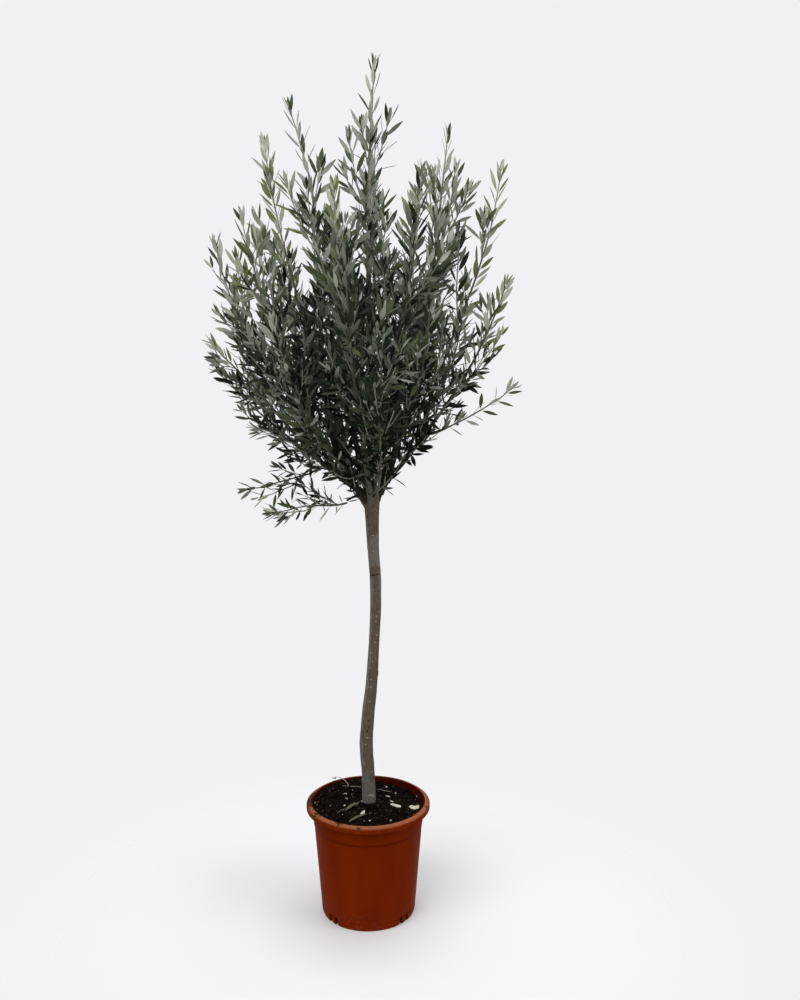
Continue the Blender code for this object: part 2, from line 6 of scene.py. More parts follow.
import bmesh
import bpy
import numpy as np
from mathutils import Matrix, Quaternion, Vector, noise
from mathutils.geometry import interpolate_bezier
from mathutils.kdtree import KDTree


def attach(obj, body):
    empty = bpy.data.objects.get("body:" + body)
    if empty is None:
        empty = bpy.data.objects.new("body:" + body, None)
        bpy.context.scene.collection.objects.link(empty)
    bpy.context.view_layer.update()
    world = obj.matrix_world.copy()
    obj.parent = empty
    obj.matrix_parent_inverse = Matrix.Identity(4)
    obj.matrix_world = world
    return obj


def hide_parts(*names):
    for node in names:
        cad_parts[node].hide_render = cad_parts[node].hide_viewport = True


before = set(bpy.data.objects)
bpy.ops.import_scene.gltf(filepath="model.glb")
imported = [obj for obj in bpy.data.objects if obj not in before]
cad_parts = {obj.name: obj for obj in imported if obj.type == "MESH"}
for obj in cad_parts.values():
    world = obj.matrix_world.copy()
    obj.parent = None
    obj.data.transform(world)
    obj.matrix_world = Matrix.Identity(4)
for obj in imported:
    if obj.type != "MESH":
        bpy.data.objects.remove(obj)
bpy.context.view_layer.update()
mm = 0.001
up = Vector((0, 0, 1))


# Small tools for colours, nodes and meshes

def toLinear(hexColour):
    shares = [int(hexColour[i:i + 2], 16) / 255 for i in (1, 3, 5)]
    return (*[s / 12.92 if s <= 0.04045 else ((s + 0.055) / 1.055) ** 2.4 for s in shares], 1.0)


def addNode(tree, kind, settings={}, links={}):
    # a key is a socket's name or number, or else a property of the node
    node = tree.nodes.new("ShaderNode" + kind)
    for key, value in settings.items():
        if isinstance(key, int) or key in node.inputs:
            node.inputs[key].default_value = value
        else:
            setattr(node, key, value)
    for key, source in links.items():
        tree.links.new(source, node.inputs[key])
    return node


def perMetre(sizeMm):
    return 1 / (sizeMm * mm)    # a pattern's scale, from the real size of one of its features


def blend(tree, share, first, second):
    # one colour over another; each is a hex value or a socket
    mix = addNode(tree, "Mix", {"data_type": "RGBA"}, {0: share})
    for slot, colour in ((6, first), (7, second)):
        if isinstance(colour, str):
            mix.inputs[slot].default_value = toLinear(colour)
        else:
            tree.links.new(colour, mix.inputs[slot])
    return mix.outputs[2]


def patches(tree, sizeMm, low=0.35, high=0.65, stretch=(1, 1, 1), detail=3):
    # soft-edged patches, 0 to 1, about sizeMm across, laid out in the tree's own space
    place = addNode(tree, "TexCoord").outputs["Object"]
    drawn = addNode(tree, "Mapping", {"Scale": stretch}, {"Vector": place}).outputs[0]
    cloud = addNode(tree, "TexNoise", {"Scale": perMetre(sizeMm), "Detail": detail}, {"Vector": drawn})
    ranged = addNode(tree, "MapRange", {"From Min": low, "From Max": high}, {"Value": cloud.outputs[0]})
    return ranged.outputs[0]


def newMaterial(name, colour, settings):
    # settings go straight onto the shader's own sockets
    material = bpy.data.materials.new(name)
    material.use_nodes = True
    shader = material.node_tree.nodes["Principled BSDF"]
    shader.inputs["Base Color"].default_value = toLinear(colour)
    for socket, value in settings.items():
        shader.inputs[socket].default_value = value
    return material, material.node_tree, shader


def addRelief(tree, shader, height, depthMm, strength=1.0):
    bump = addNode(tree, "Bump", {"Strength": strength, "Distance": depthMm * mm}, {"Height": height})
    tree.links.new(bump.outputs[0], shader.inputs["Normal"])


def addPiece(name, corners, faces, materials, tones=None, sharpAngle=None):
    mesh = bpy.data.meshes.new(name)
    mesh.from_pydata([tuple(c) for c in corners], [], faces)
    for material in materials:
        mesh.materials.append(material)
    if tones is not None:
        mesh.polygons.foreach_set("material_index", np.asarray(tones, np.int32))
    mesh.shade_smooth()
    if sharpAngle:
        mesh.set_sharp_from_angle(angle=math.radians(sharpAngle))
    piece = bpy.data.objects.new(name, mesh)
    bpy.context.scene.collection.objects.link(piece)
    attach(piece, "root")
    print(f"{name}: {sum(len(face) - 2 for face in faces)} triangles")
    return piece


class Heap:
    # corners and faces of many small things, gathered for one joined mesh
    def __init__(self):
        self.corners, self.faces, self.tones = [], [], []

    def add(self, corners, faces, tone=0):
        base = len(self.corners)
        self.corners += corners
        self.faces += [[base + i for i in face] for face in faces]
        self.tones += [tone] * len(faces) if isinstance(tone, int) else tone


def between(rows, place):
    # read a table of (place, value, ...) rows, straight between its rows
    if place <= rows[0][0]:
        return rows[0][1:]
    for low, high in zip(rows, rows[1:]):
        if place <= high[0]:
            share = (place - low[0]) / (high[0] - low[0])
            return tuple(a + (b - a) * share for a, b in zip(low[1:], high[1:]))
    return rows[-1][1:]


# Camera, floor and light

view = {
    "place": (0.0, -2.5, 1.45),
    "pitchDown": 11.07,         # degrees
    "yawRight": 1.659,
    "lensMm": 42.41,            # on a 36 mm sensor, along the picture's long side
}
studio = {
    "floorRadius": 4.0,
    "floorFade": (0.24, 0.95),    # the floor thins out into the pale room between these
    "floorColour": "#e6e6e8",
    "roomColour": "#f1f1f3",
    "roomRadius": 20.0,
    "roomStrength": 0.50,       # how much the room lights the tree
    "key": {"place": (-2.0, -2.6, 3.9), "size": 4.0, "power": 138},
    "fill": {"place": (3.0, -1.4, 2.6), "size": 2.4, "power": 50},
    "top": {"place": (0.2, 0.8, 4.4), "size": 3.0, "power": 84},
}


def makeCamera():
    data = bpy.data.cameras.new("camera")
    data.sensor_width = 36
    data.lens = view["lensMm"]
    camera = bpy.data.objects.new("camera", data)
    camera.location = view["place"]
    camera.rotation_euler = (math.radians(90 - view["pitchDown"]), 0, math.radians(-view["yawRight"]))
    bpy.context.scene.collection.objects.link(camera)
    bpy.context.scene.camera = camera


def stagePiece(name, shape, **sizes):
    bm = bmesh.new()
    shape(bm, **sizes)
    mesh = bpy.data.meshes.new(name)
    bm.to_mesh(mesh)
    bm.free()
    piece = bpy.data.objects.new(name, mesh)
    bpy.context.scene.collection.objects.link(piece)
    return piece


def makeFloor():
    floor = stagePiece("floor", bmesh.ops.create_circle, cap_ends=True, segments=96,
                       radius=studio["floorRadius"])
    material, tree, shader = newMaterial("paintedFloor", studio["floorColour"],
                                         {"Roughness": 0.9, "IOR": 1.3})
    place = addNode(tree, "TexCoord").outputs["Object"]
    reach = addNode(tree, "VectorMath", {"operation": "LENGTH"}, {0: place}).outputs["Value"]
    near, far = studio["floorFade"]
    fade = addNode(tree, "MapRange", {"interpolation_type": "SMOOTHSTEP", "From Min": near, "From Max": far,
                                      "To Min": 1, "To Max": 0}, {"Value": reach})
    tree.links.new(fade.outputs[0], shader.inputs["Alpha"])
    floor.data.materials.append(material)


def makeRoom():
    # a pale shell far off that is only seen, and even light of its own colour from all round
    shell = stagePiece("room", bmesh.ops.create_uvsphere, u_segments=64, v_segments=32,
                       radius=studio["roomRadius"])
    shell.visible_diffuse = shell.visible_glossy = shell.visible_shadow = False
    material, tree, shader = newMaterial("paleRoom", "#000000",
                                         {"Specular IOR Level": 0, "Emission Strength": 1.0})
    shader.inputs["Emission Color"].default_value = toLinear(studio["roomColour"])
    shell.data.materials.append(material)
    world = bpy.data.worlds.new("roomLight")
    bpy.context.scene.world = world
    world.use_nodes = True
    background = world.node_tree.nodes["Background"]
    background.inputs["Color"].default_value = toLinear(studio["roomColour"])
    background.inputs["Strength"].default_value = studio["roomStrength"]
    for name in ("key", "fill", "top"):
        light = bpy.data.lights.new(name, "AREA")
        light.size = studio[name]["size"]
        light.energy = studio[name]["power"]
        lamp = bpy.data.objects.new(name, light)
        lamp.location = studio[name]["place"]
        aim = Vector((0, 0, 1.1)) - lamp.location
        lamp.rotation_euler = aim.to_track_quat("-Z", "Y").to_euler()
        bpy.context.scene.collection.objects.link(lamp)
    bpy.context.scene.view_settings.view_transform = "Standard"


# Finishes

def heightBand(tree, height, edges):
    # 0 outside a band of heights and 1 inside it; edges are (starts, full, full, ends)
    rise = addNode(tree, "MapRange", {"From Min": edges[0], "From Max": edges[1]}, {"Value": height})
    fall = addNode(tree, "MapRange", {"From Min": edges[3], "From Max": edges[2]}, {"Value": height})
    both = addNode(tree, "Math", {"operation": "MULTIPLY"}, {0: rise.outputs[0], 1: fall.outputs[0]})
    return both.outputs[0]


def smear(tree, place, centre, nearMm, farMm, spots):
    # dirt that is thick at a point and thins out in spots with distance
    away = addNode(tree, "VectorMath", {"operation": "DISTANCE", 1: centre}, {0: place}).outputs["Value"]
    share = addNode(tree, "MapRange", {"From Min": farMm * mm, "From Max": nearMm * mm}, {"Value": away})
    both = addNode(tree, "Math", {"operation": "ADD"}, {0: share.outputs[0], 1: spots}).outputs[0]
    return addNode(tree, "MapRange", {"From Min": 1.02, "From Max": 1.22}, {"Value": both}).outputs[0]


def makePotPlastic():
    # injection-moulded polypropylene, terracotta red: satin and even, painted pale at its lip as a highlight,
    # painted dark as shade under the rim, under the wall's step and at the heel, soil on the rim
    material, tree, shader = newMaterial("mouldedPolypropylene", pot["body"],
                                         {"Roughness": 0.5, "IOR": 1.49, "Specular IOR Level": 0.008})
    place = addNode(tree, "TexCoord").outputs["Object"]
    height = addNode(tree, "SeparateXYZ", {}, {0: place}).outputs["Z"]
    flow = patches(tree, 55, 0.3, 0.7, stretch=(1, 1, 0.25))
    colour = blend(tree, flow, pot["body"], pot["bodyDeep"])
    top, ledge, underRim = pot["height"], pot["ledgeHeight"], pot["height"] - pot["skirt"]
    for edges, tone in (
        # painted shade under the wall's step, then under the rim
        ((ledge - 0.006, ledge - 0.001, ledge + 0.0012, ledge + 0.003), pot["stepShade"]),
        ((underRim - 0.006, underRim - 0.001, underRim, underRim + 0.001), pot["stepShade"]),
        # painted shade in a band at the heel's bend
        ((0.014, 0.016, 0.018, 0.024), pot["bodyDeep"]),
        # painted highlight on the rim's top
        ((top - 0.0052, top - 0.0022, top + 0.01, top + 0.02), pot["lip"]),
    ):
        colour = blend(tree, heightBand(tree, height, edges), colour, tone)
    dust = patches(tree, 7, 0.54, 0.70, detail=6)
    for edges in ((-0.02, -0.01, 0.0, 0.05), (top - 0.02, top, top + 0.01, top + 0.02)):
        thin = addNode(tree, "Math", {"operation": "MULTIPLY", 1: pot["dustShare"]},
                       {0: heightBand(tree, height, edges)}).outputs[0]
        dusty = addNode(tree, "Math", {"operation": "MULTIPLY"}, {0: dust, 1: thin}).outputs[0]
        colour = blend(tree, dusty, colour, pot["dust"])
    spots = patches(tree, 4, 0.34, 0.58, detail=5)
    for centre, nearMm, farMm in pot["dirt"]:
        colour = blend(tree, smear(tree, place, centre, nearMm, farMm, spots), colour, pot["soilStain"])
    tree.links.new(colour, shader.inputs["Base Color"])
    worn = addNode(tree, "MapRange", {"To Min": 0.42, "To Max": 0.6}, {"Value": dust}).outputs[0]
    tree.links.new(worn, shader.inputs["Roughness"])
    addRelief(tree, shader, patches(tree, 1.2, 0.2, 0.8), 0.12, 0.35)
    return material


def makeFlatFinish(name, tones, patchMm, reliefMm, depthMm, settings, stretch=(1, 1, 1)):
    # two close tones in patches, over a fine relief
    material, tree, shader = newMaterial(name, tones[0], settings)
    tree.links.new(blend(tree, patches(tree, patchMm, stretch=stretch), *tones), shader.inputs["Base Color"])
    addRelief(tree, shader, patches(tree, reliefMm, 0.25, 0.75, stretch=stretch), depthMm)
    return material


def makeBark(name, tones, fibreMm):
    # smooth young olive bark: grey-brown cork with a green-grey film, drawn out along the stem
    material, tree, shader = newMaterial(name, tones["cork"],
                                         {"Roughness": 0.82, "IOR": 1.45, "Specular IOR Level": 0.2})
    fibres = patches(tree, fibreMm, 0.34, 0.66, stretch=(1, 1, 0.22), detail=5)
    film = patches(tree, 15, 0.42, 0.60, stretch=(1, 1, 0.4), detail=4)
    specks = patches(tree, 2.4, 0.60, 0.70, detail=2)
    cork = blend(tree, fibres, tones["cork"], tones["ridge"])
    filmed = blend(tree, film, cork, tones["film"])
    tree.links.new(blend(tree, specks, filmed, tones["speck"]), shader.inputs["Base Color"])
    addRelief(tree, shader, fibres, 0.5, 0.7)
    return material


# Pot: a thin round tub with an open-bottomed rolled rim, four drainage notches at its heel

pot = {
    "body": "#702302",
    "bodyDeep": "#661c01",
    "stepShade": "#5a1502",        # painted shade under the wall's step and under the rim
    "inside": ("#480f05", "#330b03"),
    "lip": "#8f563a",           # painted highlight on the rim's top
    "dust": "#8d6a55",
    "dustShare": 0.3,
    "soilStain": "#3a2d1c",
    # soil on the rim: its middle, and how far it is thick and reaches, in mm
    "dirt": (((-0.137, 0.006, 0.262), 16, 62), ((-0.112, -0.066, 0.262), 1, 16),
             ((-0.062, -0.112, 0.263), 0, 13), ((-0.021, -0.134, 0.262), 0, 6),
             ((-0.078, 0.112, 0.262), 2, 24), ((0.132, -0.038, 0.262), 0, 9)),
    "height": 0.266,
    "wall": 0.0018,
    "floor": 0.0030,
    "rim": 0.140,
    "skirt": 0.0150,            # height of the rim's hanging band
    "mouth": 0.1265,
    "neck": 0.1250,
    "ledgeHeight": 0.215,
    "ledgeStep": 0.0011,
    "ledgeFall": 0.0020,
    "ledge": 0.1238,
    "heel": 0.1072,
    "heelHeight": 0.012,
    "foot": 0.1025,
    "sides": 160,
    "drains": (37, 47, 133, 143, 217, 227, 313, 323),
    "drainWidth": 0.010,
    "drainHeight": 0.023,
    "drainDepth": 0.024,
}


def wallRadius(height):
    top = pot["ledge"] - pot["ledgeStep"]
    share = (height - pot["heelHeight"]) / (pot["ledgeHeight"] - pot["heelHeight"])
    return pot["heel"] + (top - pot["heel"]) * share


def arc(centre, radius, start, end, steps):
    # points of a rounding, angles in degrees
    turns = [math.radians(start + (end - start) * k / steps) for k in range(steps + 1)]
    return [(centre[0] + radius * math.cos(t), centre[1] + radius * math.sin(t)) for t in turns]


def spunMesh(profile, sides):
    # corners and faces of a (radius, height) line turned round the Z axis; ends on the axis are single points
    corners, faces, rows = [], [], []
    for radius, height in profile:
        count = 1 if radius == 0 else sides
        rows.append([len(corners) + k for k in range(count)])
        corners += [(radius * math.cos(math.tau * k / sides), radius * math.sin(math.tau * k / sides), height)
                    for k in range(count)]
    for low, high in zip(rows, rows[1:]):
        for k in range(sides):
            n = (k + 1) % sides
            ring = [low[k % len(low)], low[n % len(low)], high[n % len(high)], high[k % len(high)]]
            faces.append(list(dict.fromkeys(ring)))
    return corners, faces


def makePot():
    wall, height, skirt = pot["wall"], pot["height"], pot["skirt"]
    underRim, belowLedge = height - skirt, pot["ledgeHeight"] - pot["ledgeFall"]
    lipRound = 0.0016
    profile = [(0, 0.0022), (0.030, 0.0022), (0.033, 0.0), (pot["foot"] - 0.012, 0.0)]
    for k in range(7):      # the heel's rounding
        turn = math.pi / 2 * k / 6
        profile.append((pot["foot"] + (pot["heel"] - pot["foot"]) * math.sin(turn),
                        pot["heelHeight"] * (1 - math.cos(turn))))
    profile += [(wallRadius(z), z) for z in (0.0235, 0.0242)]
    profile += [(wallRadius(z) - 0.0004, z) for z in (0.0250, 0.0262)]
    profile += [(wallRadius(z), z) for z in (0.0270, 0.07, 0.12, 0.17, belowLedge - 0.0008, belowLedge)]
    profile += [(pot["ledge"] - 0.0005, pot["ledgeHeight"] - 0.0002)]
    profile += [(pot["ledge"] - 0.0001, pot["ledgeHeight"] + 0.0012)]
    profile += [(pot["ledge"] + 0.0001, pot["ledgeHeight"] + 0.005), (pot["neck"] - 0.0004, underRim - 0.006)]
    profile += [(pot["neck"], underRim), (pot["mouth"] + wall, height - wall - 0.0016)]
    profile += [(pot["mouth"] + wall + 0.002, height - wall - 0.0006)]
    profile += [(pot["rim"] - wall - 0.004, height - 0.0052)]
    profile += [(pot["rim"] - wall, height - 0.0080), (pot["rim"] - wall, underRim + 0.0004)]
    profile += arc((pot["rim"] - wall / 2, underRim + wall / 2), wall / 2, 180, 360, 6)
    crest = pot["mouth"] + lipRound * 1.8
    profile += arc((pot["rim"] - 0.0020, height - 0.0062), 0.0020, 0, 62, 4)
    profile += [(pot["rim"] - 0.0034, height - 0.0030), (crest + 0.0045, height - 0.0009), (crest, height)]
    insideFrom = len(profile) - 1
    profile += arc((pot["mouth"] + lipRound, height - lipRound - 0.0003), lipRound, 80, 180, 5)
    profile += [(pot["neck"] - wall, underRim), (wallRadius(belowLedge) - wall, belowLedge)]
    profile += [(pot["heel"] - wall, pot["heelHeight"]), (pot["foot"] - wall, pot["floor"])]
    profile += [(0, pot["floor"])]
    corners, faces = spunMesh(profile, pot["sides"])
    # rows of faces from the mouth inwards are the inside, painted dark as shade
    finishes = [makePotPlastic(), makeFlatFinish("shadedInsidePolypropylene", pot["inside"], 16, 1.2, 0.1, {
        "Roughness": 0.6, "IOR": 1.49, "Specular IOR Level": 0.02})]
    rows = [0] * insideFrom + [1] * (len(profile) - 1 - insideFrom)
    tub = addPiece("plant_pot", corners, faces, finishes, np.repeat(rows, pot["sides"]), sharpAngle=50)
    for azimuth in pot["drains"]:
        cutDrain(tub, math.radians(azimuth))
    bakeModifiers(tub)
    tub.data.set_sharp_from_angle(angle=math.radians(40))
    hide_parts("pot")


def cutDrain(tub, azimuth):
    bm = bmesh.new()
    half = pot["drainWidth"] / 2
    bmesh.ops.create_cone(bm, cap_ends=True, segments=28, radius1=half, radius2=half, depth=pot["drainDepth"])
    mesh = bpy.data.meshes.new("notch")
    bm.to_mesh(mesh)
    bm.free()
    cutter = bpy.data.objects.new("notch", mesh)
    cutter.scale = (pot["drainHeight"] / half, 1, 1)
    cutter.rotation_euler = (0, math.pi / 2, azimuth)
    cutter.location = (pot["heel"] * math.cos(azimuth), pot["heel"] * math.sin(azimuth), 0)
    bpy.context.scene.collection.objects.link(cutter)
    cut = tub.modifiers.new("notch", "BOOLEAN")
    cut.operation, cut.object = "DIFFERENCE", cutter


def bakeModifiers(piece):
    # the evaluated mesh takes the place of the plain one, and what cut it goes
    bpy.context.view_layer.update()
    cutters = [m.object for m in piece.modifiers if m.type == "BOOLEAN"]
    made = bpy.data.meshes.new_from_object(piece.evaluated_get(bpy.context.evaluated_depsgraph_get()))
    piece.modifiers.clear()
    piece.data = made
    for cutter in cutters:
        bpy.data.objects.remove(cutter)


# Limbs: centre lines that carry a radius and a direction, by the same rules as the solids

trunk = {
    "y": 0.022,
    # height, x, diameter
    "line": ((0.2535, 0.0018, 0.0306), (0.280, 0.0014, 0.0306), (0.320, 0.0004, 0.0292),
             (0.385, -0.0034, 0.0300), (0.458, 0.0006, 0.0288), (0.534, 0.0088, 0.0265),
             (0.630, 0.0149, 0.0234), (0.714, 0.0191, 0.0243), (0.782, 0.0187, 0.0250),
             (0.846, 0.0146, 0.0252), (0.917, 0.0121, 0.0300), (0.962, 0.0116, 0.0355),
             (0.977, 0.0115, 0.0330), (0.985, 0.0115, 0.0235)),
    "sides": 12,
    "step": 0.045,
}
crown = {
    # how far the crown reaches: height, left, right, front and rear
    "levels": ((0.90, 0.26, 0.10, 0.15), (1.02, 0.27, 0.11, 0.20), (1.10, 0.27, 0.17, 0.25),
               (1.20, 0.32, 0.25, 0.30), (1.30, 0.35, 0.30, 0.33), (1.42, 0.32, 0.31, 0.33),
               (1.53, 0.32, 0.30, 0.30), (1.62, 0.25, 0.30, 0.27), (1.68, 0.23, 0.29, 0.24),
               (1.75, 0.22, 0.19, 0.20), (1.82, 0.12, 0.10, 0.12), (1.89, 0.04, 0.05, 0.05)),
    # name, what it leaves, where, its tip, the angle it leaves at, the pitch of its tip,
    # its base radius, the share of it that is bare bough, and how thickly it is clothed
    "branches": (
        ("crown_top", "trunk", "top", (0.018, 0.020, 1.822), 0, 86, 0.0110, 0.24, 0.7),
        ("left_spire", "trunk", 0.955, (-0.136, -0.050, 1.725), 38, 68, 0.0088, 0.22, 0.7),
        ("right_spire", "trunk", 0.958, (0.170, 0.060, 1.685), 20, 84, 0.0094, 0.24, 0.7),
        ("front_upper", "trunk", 0.950, (-0.036, -0.235, 1.430), 24, 82, 0.0074, 0.26, 1.0),
        ("rear_top", "trunk", 0.955, (-0.072, 0.195, 1.565), 32, 82, 0.0080, 0.26, 1.0),
        ("centre_left", "crown_top", 0.50, (-0.058, -0.135, 1.560), 36, 82, 0.0056, 0.16, 0.9),
        ("centre_rear", "crown_top", 0.70, (0.020, 0.150, 1.590), 34, 84, 0.0050, 0.16, 0.6),
        ("right_inner", "crown_top", 0.88, (0.108, -0.110, 1.590), 34, 84, 0.0046, 0.14, 0.8),
        ("left_side", "left_spire", 0.34, (-0.278, -0.065, 1.262), 26, 44, 0.0060, 0.22, 1.0),
        ("left_outer", "left_spire", 0.62, (-0.232, -0.115, 1.500), 38, 76, 0.0054, 0.16, 0.8),
        ("left_shoulder", "left_spire", 0.86, (-0.206, 0.095, 1.665), 34, 80, 0.0050, 0.26, 0.35),
        ("left_flank", "left_side", 0.62, (-0.302, 0.030, 1.450), 34, 78, 0.0044, 0.12, 0.9),
        ("left_skirt", "trunk", 0.962, (-0.284, 0.085, 1.190), 50, 44, 0.0054, 0.32, 0.9),
        ("low_left", "left_skirt", 0.90, (-0.200, 0.000, 0.998), 60, -12, 0.0032, 0.30, 0.4),
        ("low_left_under", "left_spire", 0.12, (-0.146, -0.075, 0.960), 84, -8, 0.0030, 0.18, 0.4),
        ("right_side", "right_spire", 0.24, (0.272, -0.045, 1.370), 24, 70, 0.0058, 0.32, 0.6),
        ("right_rear_shoulder", "right_spire", 0.66, (0.192, 0.145, 1.622), 34, 80, 0.0052, 0.38, 0.35),
        ("right_shoulder", "right_side", 0.86, (0.276, 0.020, 1.605), 28, 82, 0.0044, 0.34, 0.3),
        ("right_middle", "right_side", 0.50, (0.182, -0.150, 1.305), 34, 72, 0.0040, 0.24, 0.5),
        ("right_low", "right_side", 0.90, (0.270, 0.040, 1.164), 44, 30, 0.0034, 0.30, 0.4),
        ("front_left", "front_upper", 0.40, (-0.165, -0.200, 1.300), 40, 70, 0.0046, 0.16, 1.0),
        ("front_right", "right_spire", 0.44, (0.120, -0.205, 1.330), 44, 76, 0.0046, 0.16, 1.0),
        ("front_low", "front_upper", 0.84, (0.030, -0.275, 1.285), 40, 64, 0.0040, 0.14, 1.0),
        ("rear_left", "rear_top", 0.42, (-0.185, 0.215, 1.430), 40, 74, 0.0046, 0.16, 1.0),
        ("rear_right", "rear_top", 0.64, (0.145, 0.230, 1.410), 40, 74, 0.0046, 0.16, 1.0),
        ("rear_low", "rear_top", 0.24, (-0.010, 0.275, 1.235), 44, 62, 0.0044, 0.16, 1.0),
        ("front_tuft", "front_upper", 0.16, (0.036, -0.168, 1.116), 58, 8, 0.0036, 0.14, 1.0),
        ("inner_left", "trunk", 0.930, (-0.075, 0.150, 1.125), 56, 70, 0.0032, 0, 1.0),
        ("inner_right", "trunk", 0.970, (0.041, -0.093, 1.220), 34, 74, 0.0032, 0, 1.0),
    ),
    "gap": 0.0003,
    "boughSides": 6,
    "boughRings": 4,
    "boughTaper": 1.1,
    "bend": 0.36,
    "curveSteps": 40,
    "sampleStep": 0.005,
    "seatSpan": 3,
    "seatChecks": 12,
    "stemRings": 6,
    "stemTip": 0.0018,
}


class Limb:
    def __init__(self, points, radii, ways=None):
        self.points = points
        self.radii = radii
        runs = [(b - a).normalized() for a, b in zip(points, points[1:])]
        self.ways = ways or [(a + b).normalized() for a, b in zip(runs[:1] + runs, runs + runs[-1:])]
        self.places = [0.0]
        for a, b in zip(points, points[1:]):
            self.places.append(self.places[-1] + (b - a).length)
        self.length = self.places[-1]

    def at(self, distance):
        # point, direction and radius at a distance along the line
        i, share = self.segment(distance)
        point = self.points[i].lerp(self.points[i + 1], share)
        way = self.ways[i].lerp(self.ways[i + 1], share).normalized()
        return point, way, self.radii[i] + (self.radii[i + 1] - self.radii[i]) * share

    def segment(self, distance):
        distance = min(max(distance, 0.0), self.length)
        i = max(k for k in range(len(self.points) - 1) if k == 0 or self.places[k] <= distance)
        return i, (distance - self.places[i]) / (self.places[i + 1] - self.places[i])

    def part(self, start, end, rings):
        read = [self.at(start + (end - start) * k / rings) for k in range(rings + 1)]
        points, ways, radii = zip(*read)
        return Limb(list(points), list(radii), list(ways))


def cubic(start, startWay, end, endWay, steps):
    pull = crown["bend"] * (end - start).length
    return interpolate_bezier(start, start + startWay * pull, end - endWay * pull, end, steps + 1)


def cornerRings(limb, sides):
    # rings of corners square to the limb, with no twist between them
    rings = []
    across = limb.ways[0].orthogonal()
    spokes = [(math.cos(math.tau * k / sides), math.sin(math.tau * k / sides)) for k in range(sides)]
    for point, along, radius in zip(limb.points, limb.ways, limb.radii):
        across = (across - along * across.dot(along)).normalized()
        over = along.cross(across)
        rings.append([point + (across * c + over * s) * radius for c, s in spokes])
    return rings


def trunkLimb(step):
    rows = trunk["line"]
    spots = [Vector((x, trunk["y"], height)) for height, x, _ in rows]
    through = Limb(spots, [diameter / 2 for _, _, diameter in rows])
    points, radii = [], []
    for i in range(len(spots) - 1):
        length = (spots[i + 1] - spots[i]).length
        count = math.ceil(length / step)
        leaving = spots[i] + through.ways[i] * length / 3
        arriving = spots[i + 1] - through.ways[i + 1] * length / 3
        points += interpolate_bezier(spots[i], leaving, arriving, spots[i + 1], count + 1)[:-1]
        radii += [between(((0, through.radii[i]), (count, through.radii[i + 1])), k)[0] for k in range(count)]
    points += spots[-1:]
    radii += through.radii[-1:]
    return Limb(points, radii, [up] + Limb(points, radii).ways[1:-1] + [up])


def branchStart(parent, rings, distance, tip, leave, span):
    axisPoint, along, _ = parent.at(distance)
    outward = tip - axisPoint
    outward = (outward - along * outward.dot(along)).normalized()
    swell = 0.0
    for k in range(crown["seatChecks"] + 1):
        i, share = parent.segment(distance + span * (2 * k / crown["seatChecks"] - 1))
        corners = [low.lerp(high, share) for low, high in zip(rings[i], rings[i + 1])]
        swell = max(swell, *[(corner - axisPoint).dot(outward) for corner in corners])
    foot = axisPoint + outward * (swell + crown["gap"])
    return foot, along * math.cos(leave) + outward * math.sin(leave), outward


def seatRings(limb, foot, outward):
    rings = cornerRings(limb, crown["boughSides"])
    way = limb.ways[0]
    rings[0] = [corner + way * ((foot - corner).dot(outward) / way.dot(outward)) for corner in rings[0]]
    return rings


def planBranches(stemLimb):
    plans = {}
    trunkRings = cornerRings(stemLimb, trunk["sides"])
    gap = crown["gap"]
    for name, parent, place, tip, leave, pitch, girth, share, fullness in crown["branches"]:
        tip = Vector(tip)
        carrier, rings, distance = stemLimb, trunkRings, stemLimb.length
        if place == "top":
            start, way, outward = stemLimb.points[-1] + up * gap, up, None
        else:
            distance = place - trunk["line"][0][0]
            if parent != "trunk":
                carrier, rings = plans[parent]["bough"], plans[parent]["rings"]
                distance = place * carrier.length
            start, way, outward = branchStart(carrier, rings, distance, tip, math.radians(leave),
                                              crown["seatSpan"] * girth)
        level = Vector((tip.x - start.x, tip.y - start.y, 0)).normalized()
        endWay = level * math.cos(math.radians(pitch)) + up * math.sin(math.radians(pitch))
        points = cubic(start, way, tip, endWay, crown["curveSteps"])
        whole = Limb(points, [girth] * len(points))
        cut = share * whole.length
        taper = ((cut, girth * (1 - crown["boughTaper"] * share)), (whole.length, crown["stemTip"]))
        if share:
            taper = ((0, girth), *taper)
        whole.radii = [between(taper, place)[0] for place in whole.places]
        bough = whole.part(0, cut, crown["boughRings"]) if share else None
        stem = whole.part(cut + gap if share else 0, whole.length, crown["stemRings"])
        rings = None
        if share:
            rings = seatRings(bough, start, outward) if outward else cornerRings(bough, crown["boughSides"])
        plans[name] = {"whole": whole, "cut": cut, "bough": bough, "rings": rings, "stem": stem,
                       "carrier": carrier, "seat": distance, "girth": girth, "fullness": fullness}
    return plans


class Space:
    # says which places are free for a mass: in the crown, nearest its own stem, off the limbs
    clearOfMasses = 0.005
    clearOfLimbs = 0.0015

    def __init__(self, limbs, stems):
        self.stems = {name: pointTree([point for point, _ in spread(stem)]) for name, stem in stems.items()}
        samples = [sample for limb in limbs for sample in spread(limb)]
        self.limbs = pointTree([point for point, _ in samples])
        self.radii = [radius for _, radius in samples]

    def holds(self, name, points):
        return all(self.inCrown(p) and self.nearestOwn(name, p, self.clearOfMasses) and self.offLimbs(p)
                   for p in points)

    def inCrown(self, point):
        return self.outward(point) < 1 and point.z < crown["levels"][-1][0]

    def outward(self, point):
        # 0 on the crown's axis, 1 at its outline
        left, right, depth = between(crown["levels"], point.z)
        side = left if point.x < 0 else right
        return (point.x / side) ** 2 + (point.y / depth) ** 2

    def nearestOwn(self, name, point, margin):
        own = self.stems[name].find(point)[2] + margin
        return all(tree.find(point)[2] > own for other, tree in self.stems.items() if other != name)

    def offLimbs(self, point):
        near = self.limbs.find_range(point, max(self.radii) + self.clearOfLimbs)
        return all(distance > self.radii[index] + self.clearOfLimbs for _, index, distance in near)


